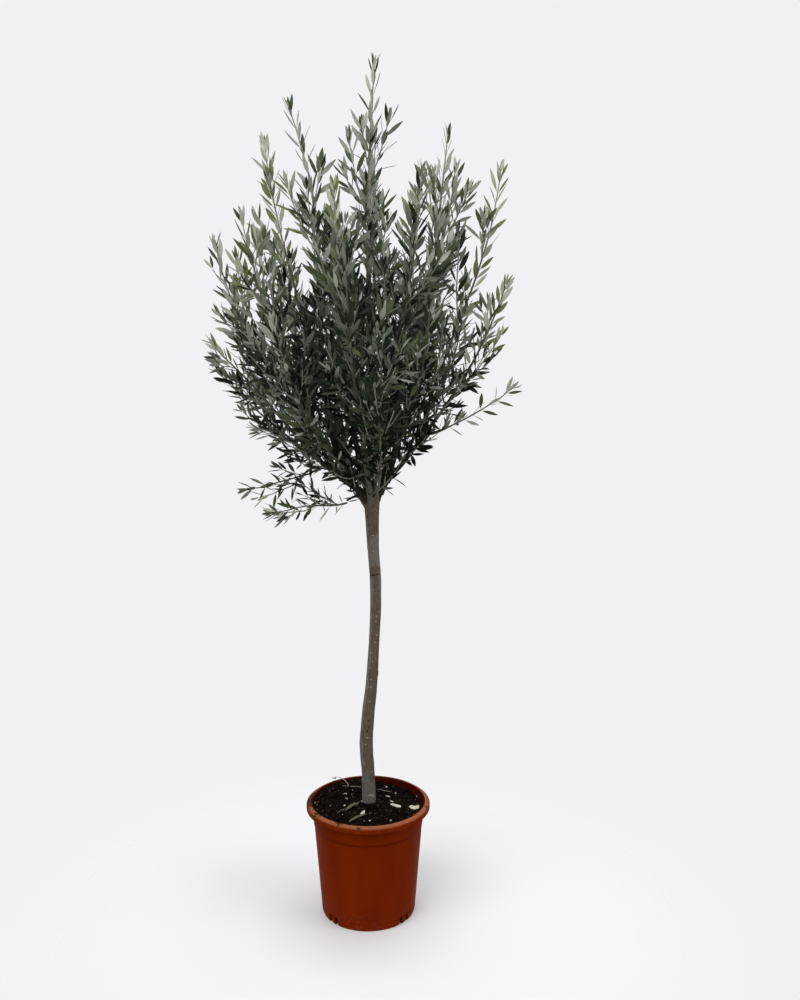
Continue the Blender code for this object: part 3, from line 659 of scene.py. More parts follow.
def spread(limb):
    count = max(2, math.ceil(limb.length / crown["sampleStep"]))
    samples = limb.part(0, limb.length, count)
    return list(zip(samples.points, samples.radii))


def pointTree(points):
    tree = KDTree(len(points))
    for i, point in enumerate(points):
        tree.insert(point, i)
    tree.balance()
    return tree


def sideways(along, turn):
    across = along.orthogonal().normalized()
    return across * math.cos(turn) + along.cross(across) * math.sin(turn)


def leaning(along, side, angle):
    return along * math.cos(math.radians(angle)) + side * math.sin(math.radians(angle))


# Bark: tubes with a relief of fine upright ridges over slow swellings

bark = {
    "ridgeMm": (2.2, 16),       # across and along the stem
    "ridgeDepthMm": 0.22,
    "swellMm": (26, 40),
    "swellDepthMm": 0.55,
    "collar": 0.14,             # how much a limb is thicker where it leaves its parent
    "hug": 0.50,                # how closely it keeps to its parent's middle there
    "hugReach": 0.030,
    "collarReach": 3.0,         # in base radii
    "parting": 5.5,             # how far below its seat it parts from its parent, in base radii
    "follow": 0.8,              # how far along its parent it keeps pace with it there
    "rootThin": 0.8,            # its thickness inside the parent
    "lap": 0.004,               # how far it goes on past its cut
    "fullRelief": 0.008,        # limbs thinner than this have less relief
    "seedStep": 11.3,
    "lit": ("front_upper", "front_tuft", "front_low"),      # limbs painted paler as lit; the other boughs are painted dark as shade
    "leadRings": 10,
    "ringGapMm": 3.0,
    "sides": 20,
}


def barkTube(limb, sides, seed, depth=1.0):
    # corners of a limb's rings with the relief on them, and its faces
    ridgeAcross, ridgeAlong = (s * mm for s in bark["ridgeMm"])
    swellAcross, swellAlong = (s * mm for s in bark["swellMm"])
    corners = []
    for ring, centre, place in zip(cornerRings(limb, sides), limb.points, limb.places):
        radius = (ring[0] - centre).length
        for k, corner in enumerate(ring):
            turn = math.tau * k / sides
            x, y = math.cos(turn) * radius, math.sin(turn) * radius
            ridge = noise.noise(Vector((x / ridgeAcross, y / ridgeAcross, place / ridgeAlong + seed)))
            swell = noise.noise(Vector((x / swellAcross, y / swellAcross, place / swellAlong - seed)))
            rise = ridge * bark["ridgeDepthMm"] + swell * bark["swellDepthMm"]
            corners.append(corner + (corner - centre) * (rise * mm * depth / radius))
    return corners, tubeFaces(len(limb.points), sides)


def tubeFaces(rings, sides):
    faces = []
    for start in range(0, (rings - 1) * sides, sides):
        for k in range(sides):
            after = (k + 1) % sides
            faces.append([start + k, start + after, start + sides + after, start + sides + k])
    faces.append(list(range(sides))[::-1])
    faces.append([(rings - 1) * sides + k for k in range(sides)])
    return faces


# Trunk: the clear stem, with its marks

stemMarks = {
    "sides": 84,
    "ringGap": 0.0012,
    "foot": 0.238,              # it goes on down into the soil
    "seed": 3.7,
    "flare": 0.0007,            # the root flare's rise, in lobes
    "flareReach": 0.022,
    "flareLobes": 5,
    "lenticels": 52,            # small pale corky dots all round
    "lenticelMm": (0.9, 1.9),
    # height, turn from the front in degrees, width and height in mm, rise in mm, finish
    "marks": (
        (0.8794, 2, 3.4, 1.3, 0.4, "pale"), (0.6842, 4, 3.2, 1.0, 0.3, "pale"),
        (0.6357, 6, 2.6, 1.4, 0.4, "pale"), (0.5915, -6, 1.9, 1.5, 0.5, "pale"),
        (0.5495, -12, 2.0, 1.5, 0.5, "pale"), (0.4976, -4, 2.0, 1.6, 0.5, "pale"),
        (0.4120, 4, 2.2, 2.0, 0.6, "pale"), (0.4525, 6, 2.9, 3.2, -0.9, "dark"),
        (0.4275, 0, 2.8, 4.4, -0.8, "dark"), (0.4360, 12, 2.0, 3.0, -0.5, "dark"),
        (0.9200, -48, 2.0, 3.5, -0.5, "dark"), (0.9020, -42, 1.8, 4.0, -0.5, "dark"),
        (0.8880, -36, 1.6, 3.0, -0.4, "dark"), (0.5940, -62, 1.6, 2.4, -0.4, "dark"),
        (0.3287, 30, 5.5, 1.1, 0.3, "pale"), (0.3030, -70, 8.0, 6.0, 1.7, "bark"),
        (0.2735, 16, 8.0, 1.3, 1.0, "pale"), (0.2700, 34, 4.0, 2.0, 0.8, "pale"),
        (0.2640, 40, 7.0, 5.0, 1.0, "bark"), (0.3493, 62, 6.0, 11.0, 1.3, "bark"),
        (0.3950, -78, 5.0, 14.0, 0.9, "bark"), (0.7200, 140, 6.0, 6.0, 1.6, "bark"),
        (0.4400, 190, 7.0, 6.0, 1.8, "bark"), (0.5600, 100, 5.5, 6.0, 1.4, "bark"),
        (0.8500, -120, 6.0, 7.0, 1.6, "bark"), (0.8700, 60, 5.0, 5.0, 1.0, "bark"),
    ),
    "ring": {"height": 0.7905, "halfMm": 1.5, "depthMm": 0.9},     # the dark line round the stem
    # where the bark turns grey, olive or pale: height, turn, half height and half width in mm, finish; the
    # grey and pale zones on the stem's left and right sides, about 40 to 80 degrees from the front, are
    # painted sheen on its edges
    "zones": (
        (0.8450, 0, 34, 30, "grey"), (0.8950, -60, 26, 7, "grey"), (0.9400, 40, 22, 10, "olive"),
        (0.7600, 62, 46, 7, "grey"), (0.7450, -50, 40, 5, "grey"), (0.7300, 10, 44, 7, "olive"),
        (0.6500, -66, 60, 6, "grey"), (0.6350, 20, 40, 6, "olive"), (0.5950, -62, 40, 8, "grey"),
        (0.6100, 12, 16, 7, "olive"), (0.5000, -72, 90, 8, "grey"), (0.5000, 74, 40, 5, "grey"),
        (0.4450, 2, 46, 7, "olive"), (0.3850, 14, 44, 6, "olive"), (0.3650, -60, 50, 9, "pale"),
        (0.4000, 78, 40, 5, "grey"), (0.3400, 30, 20, 8, "olive"), (0.3150, -40, 16, 14, "grey"),
        (0.2750, 0, 32, 60, "pale"), (0.3500, 150, 60, 16, "grey"), (0.4800, 160, 50, 14, "olive"),
        (0.6200, 170, 60, 16, "grey"), (0.7600, 180, 50, 14, "olive"), (0.8800, 150, 50, 16, "grey"),
    ),
    "zonePatchMm": (5, 16),     # how ragged their edges are, across and along
    "barkTones": {
        "brown": {"cork": "#4a3e31", "ridge": "#61574a", "film": "#564c3f", "speck": "#71675a"},
        "grey": {"cork": "#5a5751", "ridge": "#6c6963", "film": "#65635e", "speck": "#7f7b74"},
        "olive": {"cork": "#483f2e", "ridge": "#635946", "film": "#5a5140", "speck": "#746a58"},
        "pale": {"cork": "#57534c", "ridge": "#6a665e", "film": "#625e56", "speck": "#8a867d"},
    },
}


def barkZones(corners, turn, radius):
    # which of the bark's finishes each corner has: the strongest zone, with ragged edges
    kinds = list(stemMarks["barkTones"])
    across, along = (size * mm for size in stemMarks["zonePatchMm"])
    ragged = []
    for x, y, z in corners.reshape(-1, 3):
        spot = Vector((x / across, y / across, z / along))
        finer = Vector((x / across * 2.7, y / across * 2.7, z / along * 2.7 + 9))
        ragged.append(noise.noise(spot) + 0.5 * noise.noise(finer))
    ragged = np.array(ragged).reshape(turn.shape)
    strongest = np.full(turn.shape, 0.5)
    kind = np.zeros(turn.shape, np.int32)
    for spot, aside, tall, wide, name in stemMarks["zones"]:
        over = (turn - aside + 180) % 360 - 180
        reach = (np.radians(over) * radius / mm / wide) ** 2 + ((corners[..., 2] - spot) / mm / tall) ** 2
        share = np.exp(-0.7 * reach) + 0.45 * ragged * np.exp(-0.15 * reach)
        kind = np.where(share > strongest, kinds.index(name), kind)
        strongest = np.maximum(strongest, share)
    return kind


def makeTrunk(barkFinishes, paleCork, darkCork):
    limb = trunkLimb(stemMarks["ringGap"])
    below = limb.points[0] - up * (limb.points[0].z - stemMarks["foot"])
    limb = Limb([below] + limb.points, [limb.radii[0]] + limb.radii, [up] + limb.ways)
    smooth = np.convolve(np.pad(limb.radii, 12, "edge"), np.hanning(27)[1:-1] / np.hanning(27).sum(), "valid")
    limb.radii = [float(r) for r in smooth]
    sides = stemMarks["sides"]
    corners, faces = barkTube(limb, sides, stemMarks["seed"])
    corners = np.array(corners).reshape(len(limb.points), sides, 3)
    centres = np.array(limb.points)[:, None, :]
    out = corners - centres
    out[..., 2] = 0
    radius = np.linalg.norm(out, axis=2, keepdims=True)
    out /= radius
    height = corners[..., 2]
    turn = np.degrees(np.arctan2(out[..., 0], -out[..., 1]))
    rise = np.zeros_like(height)
    tone = barkZones(corners, turn, radius[..., 0])
    pale, dark = len(barkFinishes), len(barkFinishes) + 1
    flare = np.exp(-((height - trunk["line"][0][0]).clip(0) / stemMarks["flareReach"]) ** 2)
    lobes = 0.6 + 0.4 * np.cos(np.radians(turn) * stemMarks["flareLobes"] + 0.8)
    rise += stemMarks["flare"] * flare * lobes
    rule = random.Random("lenticels")
    marks = list(stemMarks["marks"])
    for _ in range(stemMarks["lenticels"]):
        size = rule.uniform(*stemMarks["lenticelMm"])
        marks.append((rule.uniform(0.27, 0.95), rule.uniform(-180, 180), size * 1.4, size, 0.3, "pale"))
    for spot, aside, width, tall, lift, finish in marks:
        over = (turn - aside + 180) % 360 - 180
        arcMm = np.radians(over) * radius[..., 0] / mm
        share = np.exp(-(arcMm / width) ** 2 - ((height - spot) / mm / tall) ** 2)
        rise += lift * mm * share
        if finish != "bark":
            tone[share > 0.45] = pale if finish == "pale" else dark
    ring = stemMarks["ring"]
    wave = 0.0006 * np.sin(np.radians(turn * 2))
    band = np.exp(-((height - ring["height"] - wave) / mm / ring["halfMm"]) ** 2)
    rise -= ring["depthMm"] * mm * band
    tone[band > 0.4] = dark
    corners += out * rise[..., None]
    tones = np.concatenate([tone[:-1].ravel(), [0, 0]])
    piece = addPiece("trunk_bark", corners.reshape(-1, 3), faces, [*barkFinishes, paleCork, darkCork], tones,
                     sharpAngle=70)
    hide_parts("trunk")


def rootedLimb(plan, end):
    # the branch up to a distance: it parts slowly from its parent, with a collar where it leaves
    whole, girth = plan["whole"], plan["girth"]
    count = max(4, math.ceil(end / (bark["ringGapMm"] * mm)))
    seen = whole.part(0, end, count)
    below, along, _ = plan["carrier"].at(max(0.0, plan["seat"] - bark["parting"] * girth))
    for k, (point, place) in enumerate(zip(seen.points, seen.places)):
        beside = plan["carrier"].at(plan["seat"] + bark["follow"] * place)[0]
        seen.points[k] = point.lerp(beside, bark["hug"] * math.exp(-(place / bark["hugReach"]) ** 2))
    lead = cubic(below, along, seen.points[0], whole.ways[0], bark["leadRings"])[:-1]
    radii = [girth * (bark["rootThin"] + bark["collar"] * k / len(lead)) for k in range(len(lead))]
    for place, radius in zip(seen.places, seen.radii):
        radii.append(radius * (1 + bark["collar"] * math.exp(-(place / (bark["collarReach"] * girth)) ** 2)))
    return Limb(lead + seen.points, radii)


def makeBoughs(plans, finishes):
    heap = Heap()
    nodes = []
    for i, (name, plan) in enumerate(plans.items()):
        if not plan["bough"]:
            continue
        limb = rootedLimb(plan, plan["cut"] + bark["lap"])
        depth = min(1.0, plan["girth"] / bark["fullRelief"])
        heap.add(*barkTube(limb, bark["sides"], bark["seedStep"] * i, depth), 1 if name in bark["lit"] else 0)
        nodes.append(name + "_bough")
    piece = addPiece("boughs", heap.corners, heap.faces, finishes, heap.tones, sharpAngle=70)
    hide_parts(*nodes)


# Twigs: the source's shoots from the same draws, then finer twigs on them

shoots = {
    "angles": ((1.35, 40), (1.72, 22)),     # from the stem, by height
    "upturn": 0.60,
    "turn": math.radians(137.5),
    "turnPlay": 0.3,
    "first": 0.35,
    "spacing": 0.060,
    "atLeast": 5,
    "until": 0.74,              # the rest of a stem is a single switch
    "shares": ((1.45, 0.46), (1.70, 0.32)),
    "extra": 0.030,
    "longest": 0.190,
    "shortest": 0.045,
    "tries": ((1, 1), (0.75, 0.8), (0.55, 0.6)),
    "rings": 2,
    "radii": (0.0020, 0.0016),
    "leafReach": 0.054,         # half the length of one of the source's leaves
    "lengthPlay": (0.85, 1.10),
    "spacingPlay": (0.82, 1.18),
}
twigs = {
    "sides": 6,
    "shootRadius": (0.0018, 0.0009),
    "stemTip": 0.0010,
    "sideRadius": (0.0012, 0.0007),
    "betweenRadius": (0.0014, 0.0008),
    "rings": 4,
    "shootRings": 6,
    "shootLengthen": 0.8,       # shoots go on less far than the stems
    "tipTurn": 0.12,            # how far what goes on turns to the sky
    "knuckle": 1.28,            # thicker where leaves stand
    "knuckleHalf": 0.0022,
    "between": {"spacing": 0.040, "share": 0.34, "extra": 0.020, "shortest": 0.026, "angle": 34,
                "span": (0.02, 0.84), "sparser": ((1.06, 1.35), (1.22, 1.0), (1.55, 1.7))},
    "side": {"spacing": 0.034, "share": 0.40, "extra": 0.012, "shortest": 0.022, "angle": 38,
             "span": (0.14, 0.58), "sparser": ((1.06, 1.5), (1.20, 1.0), (1.50, 2.6))},
    # short leafy twigs on the bare limbs above the fork
    "inner": {"spacing": 0.018, "share": 0.10, "extra": 0.090, "shortest": 0.040, "angle": 48,
              "span": (0.22, 1.0), "sparser": ((1.06, 1.4), (1.22, 1.0))},
    "innerFrom": 1.03,          # none lower than this
    "paleAbove": 1.50,          # the stems' bark is still young and pale from here up
    # how far stems go on past the solids' stems, by height
    "lengthen": ((1.00, 0.060), (1.55, 0.044), (1.85, 0.032)),
}


def growShoots(name, stem, fullness, space):
    rule = random.Random(name)
    turn = rule.uniform(0, math.tau)
    spacing = min(shoots["spacing"], stem.length / shoots["atLeast"]) / fullness
    distance = shoots["first"] * spacing
    grown = []
    while distance < shoots["until"] * stem.length:
        turn += shoots["turn"] + rule.uniform(-shoots["turnPlay"], shoots["turnPlay"])
        height = stem.at(distance)[0].z
        share = between(shoots["shares"], height)[0]
        full = min(shoots["longest"], share * (stem.length - distance) + shoots["extra"])
        full *= rule.uniform(*shoots["lengthPlay"])
        angle = between(shoots["angles"], height)[0]
        for shorter, closer in shoots["tries"]:
            shoot = growShoot(stem, distance, turn, full * shorter, angle * closer)
            beyond = shoot.points[-1] + shoot.ways[-1] * shoots["leafReach"]
            if shoot.length > shoots["shortest"] and space.holds(name, shoot.points[1:] + [beyond]):
                grown.append(shoot)
                break
        distance += spacing * rule.uniform(*shoots["spacingPlay"])
    return grown


def growShoot(stem, distance, turn, length, angle, rings=shoots["rings"], radii=shoots["radii"]):
    point, along, _ = stem.at(distance)
    way = leaning(along, sideways(along, turn), angle)
    endWay = way.lerp(along.lerp(up, 0.5), shoots["upturn"]).normalized()
    tip = point + (way + endWay).normalized() * length
    thin = [radii[0] + (radii[1] - radii[0]) * k / rings for k in range(rings + 1)]
    return Limb(cubic(point, way, tip, endWay, rings), thin)


def growFiner(name, label, stem, fullness, space, habit, radii):
    # the same rule again for twigs of the next order, kept to the mass's own space
    rule = random.Random(f"{name} {label}")
    turn = rule.uniform(0, math.tau)
    first, last = habit["span"]
    distance = first * stem.length + rule.uniform(0, habit["spacing"])
    grown = []
    while distance < last * stem.length:
        turn += shoots["turn"] + rule.uniform(-shoots["turnPlay"], shoots["turnPlay"])
        full = habit["share"] * (stem.length - distance) + habit["extra"]
        full *= rule.uniform(*shoots["lengthPlay"])
        height = stem.at(distance)[0].z
        angle = habit["angle"] * between(shoots["angles"], height)[0] / shoots["angles"][0][1]
        for shorter, closer in shoots["tries"]:
            twig = growShoot(stem, distance, turn, full * shorter, angle * closer, twigs["rings"], radii)
            clear = all(space.inCrown(p) and (name is None or space.nearestOwn(name, p, 0))
                        for p in twig.points[2:])
            if twig.length > habit["shortest"] and clear:
                grown.append(twig)
                break
        step = habit["spacing"] * between(habit["sparser"], height)[0] / fullness
        distance += step * rule.uniform(*shoots["spacingPlay"])
    return grown


def lengthened(limb, tipRadius, reach):
    # the limb a little longer, turning up a little as it goes
    way = limb.ways[-1].lerp(up, twigs["tipTurn"]).normalized()
    points = limb.points + [limb.points[-1] + limb.ways[-1] * reach * 0.5]
    points.append(points[-1] + way * reach * 0.5)
    made = Limb(points, [0] * len(points))
    first = limb.radii[0]
    made.radii = [first + (tipRadius - first) * (place / made.length) for place in made.places]
    return made


def growMass(name, plan, space):
    # every twig of one mass: (limb, order)
    fullness = plan["fullness"]
    reach = between(twigs["lengthen"], plan["stem"].points[-1].z)[0]
    stem = lengthened(plan["stem"], twigs["stemTip"], reach)
    grown = [(stem, 0)]
    first, last = twigs["shootRadius"]
    for i, shoot in enumerate(growShoots(name, plan["stem"], fullness, space)):
        shoot = shoot.part(0, shoot.length, twigs["shootRings"])
        shoot.radii[0] = first
        longer = lengthened(shoot, last, reach * twigs["shootLengthen"])
        grown.append((longer, 1))
        finer = growFiner(name, f"side {i}", longer, fullness, space, twigs["side"], twigs["sideRadius"])
        grown += [(twig, 2) for twig in finer]
    larger = twigs["betweenRadius"]
    for i, twig in enumerate(growFiner(name, "between", stem, fullness, space, twigs["between"], larger)):
        grown.append((twig, 1))
        finer = growFiner(name, f"between {i}", twig, fullness, space, twigs["side"], twigs["sideRadius"])
        grown += [(small, 2) for small in finer]
    if plan["bough"]:
        inner = growFiner(None, name + " inner", plan["bough"], 1, space, twigs["inner"], larger)
        grown += [(twig, 1) for twig in inner if twig.points[-1].z > twigs["innerFrom"]]
    return grown


# Leaves: slim blades in crossed pairs, dark and grey-green above and silvery below

leaves = {
    "lengthMm": 50,
    "widthMm": 10.3,
    "thickMm": 0.55,
    "petiole": 0.09,            # share of the length
    # size and the gap between pairs, by height: leaves are smaller and closer low down
    "byHeight": ((1.00, 0.72, 0.017), (1.25, 0.84, 0.018), (1.50, 0.98, 0.020), (1.80, 0.95, 0.019)),
    "tipGap": 0.55,             # how much closer the last pairs stand
    "angles": ((0, 47), (0.5, 38), (0.9, 25), (1, 12)),
    "wider": ((1.15, 1.28), (1.45, 1.0), (1.72, 0.86)),       # leaves stand off more low down
    "sizes": ((0, 0.75), (0.2, 1.0), (0.9, 1.0), (1, 0.72)),
    "bareRadius": 0.0030,       # limbs thicker than this have few leaves
    "bareShare": 0.30,
    "stations": (0.10, 0.28, 0.50, 0.72, 0.90),
    "roll": 1.3,                # radians, at most, about the blade's own length
    "arch": (-0.08, 0.26),
    "fold": 0.16,               # how far the halves fold down from the rib
    "skyward": 0.22,            # how far the upper side turns to the sky
    "twist": 0.5,
    "keep": 0.97,
    "firstGap": 0.6,            # the first gap on a stem, as a share of the others
    "bareEnd": 0.002,
    "turnPlay": 0.3,
    "anglePlay": (0.75, 1.25),
    "sizePlay": (0.85, 1.15),
    "gapPlay": (0.8, 1.2),
    "finerSize": 0.9,           # on twigs of the last order
    "endSize": 0.62,
    "endAngles": (6, 20),
    # how light a spray is painted, lighter outside and high up as lit and darker inside as shade, and from
    # which lightness each tone after the deep one starts
    "light": {"outside": 0.62, "height": 1.4, "from": 1.18, "least": -0.04, "play": 0.45},
    "toneSteps": (0.25, 0.65, 1.05),
    "youngFrom": 1.3,           # no young, lit tone lower than this
    "tones": {"deep": ("#171d13", "#11160f"), "matureShaded": ("#262e1f", "#1f2619"),
              "soft": ("#4d573d", "#414a34"), "youngLit": ("#72784e", "#606642")},
    # by the spray's tone: deep, mature, soft and young; the shaded and dull undersides are painted shade
    # inside the crown
    "undersides": {"shaded": ("#5a6054", "#4c5247"), "dull": ("#858b7c", "#73796c"),
                   "silvery": ("#c0c5b6", "#a9ae9e"), "downy": ("#c8ccb6", "#b0b49c")},
}


def bladeTemplate():
    # (share of the length, place across from -1 to 1, rise) for every corner, and faces with 0 above, 1 below
    spots = [(0, 0, 0)]
    rows = []
    for u in leaves["stations"]:
        rows.append(len(spots))
        spots += [(u, -1, 0), (u, -0.5, 0.55), (u, 0, 0.1), (u, 0.5, 0.55), (u, 1, 0), (u, 0, -1)]
    tip = len(spots)
    spots.append((1, 0, 0))
    faces, sides = [], []
    for k in range(4):
        faces.append([0, rows[0] + k + 1, rows[0] + k])
        faces.append([tip, rows[-1] + k, rows[-1] + k + 1])
        sides += [0, 0]
    for a, b in ((0, 5), (5, 4)):
        faces.append([0, rows[0] + a, rows[0] + b])
        faces.append([tip, rows[-1] + b, rows[-1] + a])
        sides += [1, 1]
    for low, high in zip(rows, rows[1:]):
        for k in range(4):
            faces.append([low + k, low + k + 1, high + k + 1, high + k])
            sides.append(0)
        for a, b in ((0, 5), (5, 4)):
            faces.append([low + b, low + a, high + a, high + b])
            sides.append(1)
    return np.array(spots), faces, sides


def bladeWidth(u):
    # half the blade's width at a share of its length, as a share of the widest
    stalk = leaves["petiole"]
    inBlade = ((u - stalk) / (1 - stalk)).clip(0, 1)
    return np.maximum(np.sin(np.pi * inBlade ** 0.92) ** 0.85, 0.10 * (u < 0.5) * (u > 0))


def placeLeaves(blades):
    # all corners at once: each blade is (root, way, across, length, width, arch, twist)
    spots, faces, _ = bladeTemplate()
    root, way, across = (np.array([b[k] for b in blades]) for k in range(3))
    length, width, arch, twist = (np.array([b[k] for b in blades])[:, None] for k in range(3, 7))
    above = np.cross(way, across)
    u, v, lift = spots[:, 0][None], spots[:, 1][None], spots[:, 2][None]
    turn = twist * u
    half = bladeWidth(u) * width / 2
    fold = leaves["fold"] * np.abs(v) * half
    thick = leaves["thickMm"] * mm * np.where(u * (1 - u) > 0, 1, 0)
    sideShift = v * half * np.cos(turn)
    rise = lift * thick * np.where(lift > 0, 1.0, 0.8) - fold + v * half * np.sin(turn)
    rise = rise - arch * length * u ** 2
    spot = root[:, None] + way[:, None] * (u * length)[..., None]
    spot = spot + across[:, None] * sideShift[..., None] + above[:, None] * rise[..., None]
    count = len(spots)
    allFaces = [[i + base for i in face] for base in range(0, count * len(blades), count) for face in faces]
    return spot.reshape(-1, 3), allFaces


def clothe(name, index, limb, order, space):
    # the leaves of one twig, and the places along it where they stand
    rule = random.Random(f"{name} leaves {index}")
    turn = rule.uniform(0, math.tau)
    scale, gap = between(leaves["byHeight"], limb.points[-1].z)
    wider = between(leaves["wider"], limb.points[-1].z)[0]
    distance = gap * (1.0 if order else leaves["firstGap"])
    places, blades = [], []
    while distance < limb.length - leaves["bareEnd"]:
        share = distance / limb.length
        point, along, radius = limb.at(distance)
        keep = leaves["bareShare"] if radius > leaves["bareRadius"] else leaves["keep"]
        places.append(distance)
        for half in (0, math.pi):
            if rule.random() > keep:
                continue
            side = sideways(along, turn + half + rule.uniform(-leaves["turnPlay"], leaves["turnPlay"]))
            angle = between(leaves["angles"], share)[0] * wider * rule.uniform(*leaves["anglePlay"])
            way = leaning(along, side, angle)
            size = between(leaves["sizes"], share)[0] * rule.uniform(*leaves["sizePlay"])
            size *= 1.0 if order < 2 else leaves["finerSize"]
            size *= scale
            blade = makeBlade(point + side * radius * 0.6, way, along.cross(side), size, rule)
            if order == 0 or space.inCrown(blade[0] + way * blade[3]):
                blades.append(blade)
        turn += math.pi / 2
        left = limb.length - distance
        distance += gap * min(1.0, max(leaves["tipGap"], left * 0.5 / gap)) * rule.uniform(*leaves["gapPlay"])
    point, along, _ = limb.at(limb.length)
    for half in (0, math.pi):
        side = sideways(along, turn + half)
        way = leaning(along, side, rule.uniform(*leaves["endAngles"]))
        blades.append(makeBlade(point, way, along.cross(side), leaves["endSize"] * scale, rule))
    return places, blades


def makeBlade(root, way, across, size, rule):
    # the blade's upper side turns part of the way to the sky
    way = way.normalized()
    above = way.cross(across).normalized().lerp(up, leaves["skyward"])
    roll = Quaternion(way, rule.uniform(-leaves["roll"], leaves["roll"]))
    across = roll @ above.cross(way).normalized()
    length = leaves["lengthMm"] * mm * size
    width = leaves["widthMm"] * mm * size * rule.uniform(*leaves["sizePlay"])
    arch = rule.uniform(*leaves["arch"])
    return (root, way, across, length, width, arch, rule.uniform(-leaves["twist"], leaves["twist"]))


masses = {
    "top": ("crown_top", "centre_left", "centre_rear", "right_inner"),
    "left": ("left_spire", "left_side", "left_outer", "left_shoulder", "left_flank", "left_skirt",
             "low_left", "low_left_under", "inner_left"),
    "right": ("right_spire", "right_side", "right_rear_shoulder", "right_shoulder", "right_middle",
              "right_low", "inner_right"),
    "front": ("front_upper", "front_left", "front_right", "front_low", "front_tuft"),
    "rear": ("rear_top", "rear_left", "rear_right", "rear_low"),
}


def sprayTone(limb, order, space, rule):
    # sprays high and outside are painted lighter as lit, young pale tones among them, and inside ones darker
    # as painted shade
    tip = limb.points[-1]
    light = leaves["light"]
    high = max(light["least"], light["height"] * (tip.z - light["from"]))
    shine = light["outside"] * space.outward(tip) + high + rule.uniform(-light["play"], light["play"])
    tone = sum(shine >= step for step in leaves["toneSteps"])
    return min(tone, 2) if tip.z < leaves["youngFrom"] else tone


def twigTube(limb, places, order):
    # rings at the twig's ends and at each pair of leaves, where it is a little thicker
    half = twigs["knuckleHalf"]
    stops = {0.0: 1.0, limb.length: 1.0}
    for place in places:
        for shift, scale in ((-half, 1.0), (0, twigs["knuckle"]), (half, 1.0)):
            if 0 < place + shift < limb.length:
                stops[place + shift] = scale
    for place in limb.places[1:-1]:
        if all(abs(place - other) > half * 1.5 for other in stops):
            stops[place] = 1.0
    ordered = sorted(stops)
    read = [limb.at(stop) for stop in ordered]
    points, ways, radii = zip(*read)
    tube = Limb(list(points), [r * stops[s] for r, s in zip(radii, ordered)], list(ways))
    rings = cornerRings(tube, twigs["sides"])
    older = [order == 0 and point.z < twigs["paleAbove"] for point in points]
    tones = [int(old) for old in older[:-1] for _ in range(twigs["sides"])] + [int(older[0]), int(older[-1])]
    return [corner for ring in rings for corner in ring], tubeFaces(len(rings), twigs["sides"]), tones


def makeFoliage(plans, space, twigFinishes, leafFinishes):
    wood = Heap()
    count = 0
    _, _, sides = bladeTemplate()
    sides = np.array(sides)
    for group, names in masses.items():
        blades, tones = [], []
        for name in names:
            rule = random.Random(name + " tones")
            for i, (limb, order) in enumerate(growMass(name, plans[name], space)):
                places, grown = clothe(name, i, limb, order, space)
                tone = sprayTone(limb, order, space, rule)
                blades += grown
                tones += [tone] * len(grown)
                wood.add(*twigTube(limb, places, order))
        corners, faces = placeLeaves(blades)
        tones = np.array(tones)[:, None]
        finish = np.where(sides[None] == 0, tones, tones + len(leaves["tones"])).ravel()
        piece = addPiece(f"leaves_{group}", corners, faces, leafFinishes, finish, sharpAngle=60)
        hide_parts(*[name + "_foliage" for name in names])
        count += len(blades)
    addPiece("twigs", wood.corners, wood.faces, twigFinishes, wood.tones, sharpAngle=60)
    print(f"foliage: {count} leaves")


# Soil: fills the pot, mounded to the trunk and heaped behind it, crumbly and strewn with bits

soil = {
    "edge": 0.2500,
    "crown": 0.2535,
    "seat": 0.020,
    "fade": 0.050,
    "heap": 0.0140,
    "heapWay": 138,             # azimuth
    "uneven": 0.0012,
    "waves": ((61, 23), (-31, 47)),
    "rings": 90,
    "sectors": 300,
    "clodsMm": ((11, 2.4), (4.2, 1.5), (1.9, 0.5)),      # size and height of the crumbs
    "wetTone": "#070403",
    "dryTone": "#160e08",
}


def soilLevel(x, y):
    fromSeat = max(0.0, math.hypot(x - trunk["line"][0][1], y - trunk["y"]) - soil["seat"])
    mound = (soil["crown"] - soil["edge"]) * math.exp(-(fromSeat / soil["fade"]) ** 2)
    away = min(1.0, fromSeat / soil["seat"])
    heapWay = math.radians(soil["heapWay"])
    behind = max(0.0, x * math.cos(heapWay) + y * math.sin(heapWay)) / pot["neck"]
    waves = sum(math.sin(a * x + b * y) for a, b in soil["waves"])
    return soil["edge"] + mound + away * (soil["heap"] * behind + soil["uneven"] * waves)


def soilHeight(x, y):
    crumbs = sum(depth * mm * (0.5 - noise.voronoi(Vector((x, y, 0.3 * k)) / (size * mm))[0][0])
                 for k, (size, depth) in enumerate(soil["clodsMm"]))
    return soilLevel(x, y) + crumbs


def makeSoil():
    wall, gap = pot["wall"], crown["gap"]
    belowLedge = pot["ledgeHeight"] - pot["ledgeFall"]
    inside = wallRadius(belowLedge) - wall - gap
    atRim = (pot["height"] - pot["skirt"], pot["neck"] - wall - gap)
    top = between(((belowLedge, inside), atRim), soil["edge"])[0]
    profile = [(top * k / soil["rings"], soil["edge"]) for k in range(soil["rings"] + 1)]
    profile += [(top - 0.0002, soil["edge"] - 0.008), (inside, belowLedge), (pot["heel"] - wall - gap, 0.012)]
    profile += [(pot["foot"] - wall - gap, pot["floor"] + gap), (0, pot["floor"] + gap)]
    corners, faces = spunMesh(profile[::-1], soil["sectors"])
    shaped = [(x, y, soilHeight(x, y)) if z > soil["edge"] - gap else (x, y, z) for x, y, z in corners]
    finish = makeFlatFinish("moistPeatCompost", (soil["wetTone"], soil["dryTone"]), 5, 0.9, 0.6,
                            {"Roughness": 0.85, "IOR": 1.35, "Specular IOR Level": 0.06})
    piece = addPiece("potting_soil", shaped, faces, [finish], sharpAngle=80)
    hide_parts("soil")


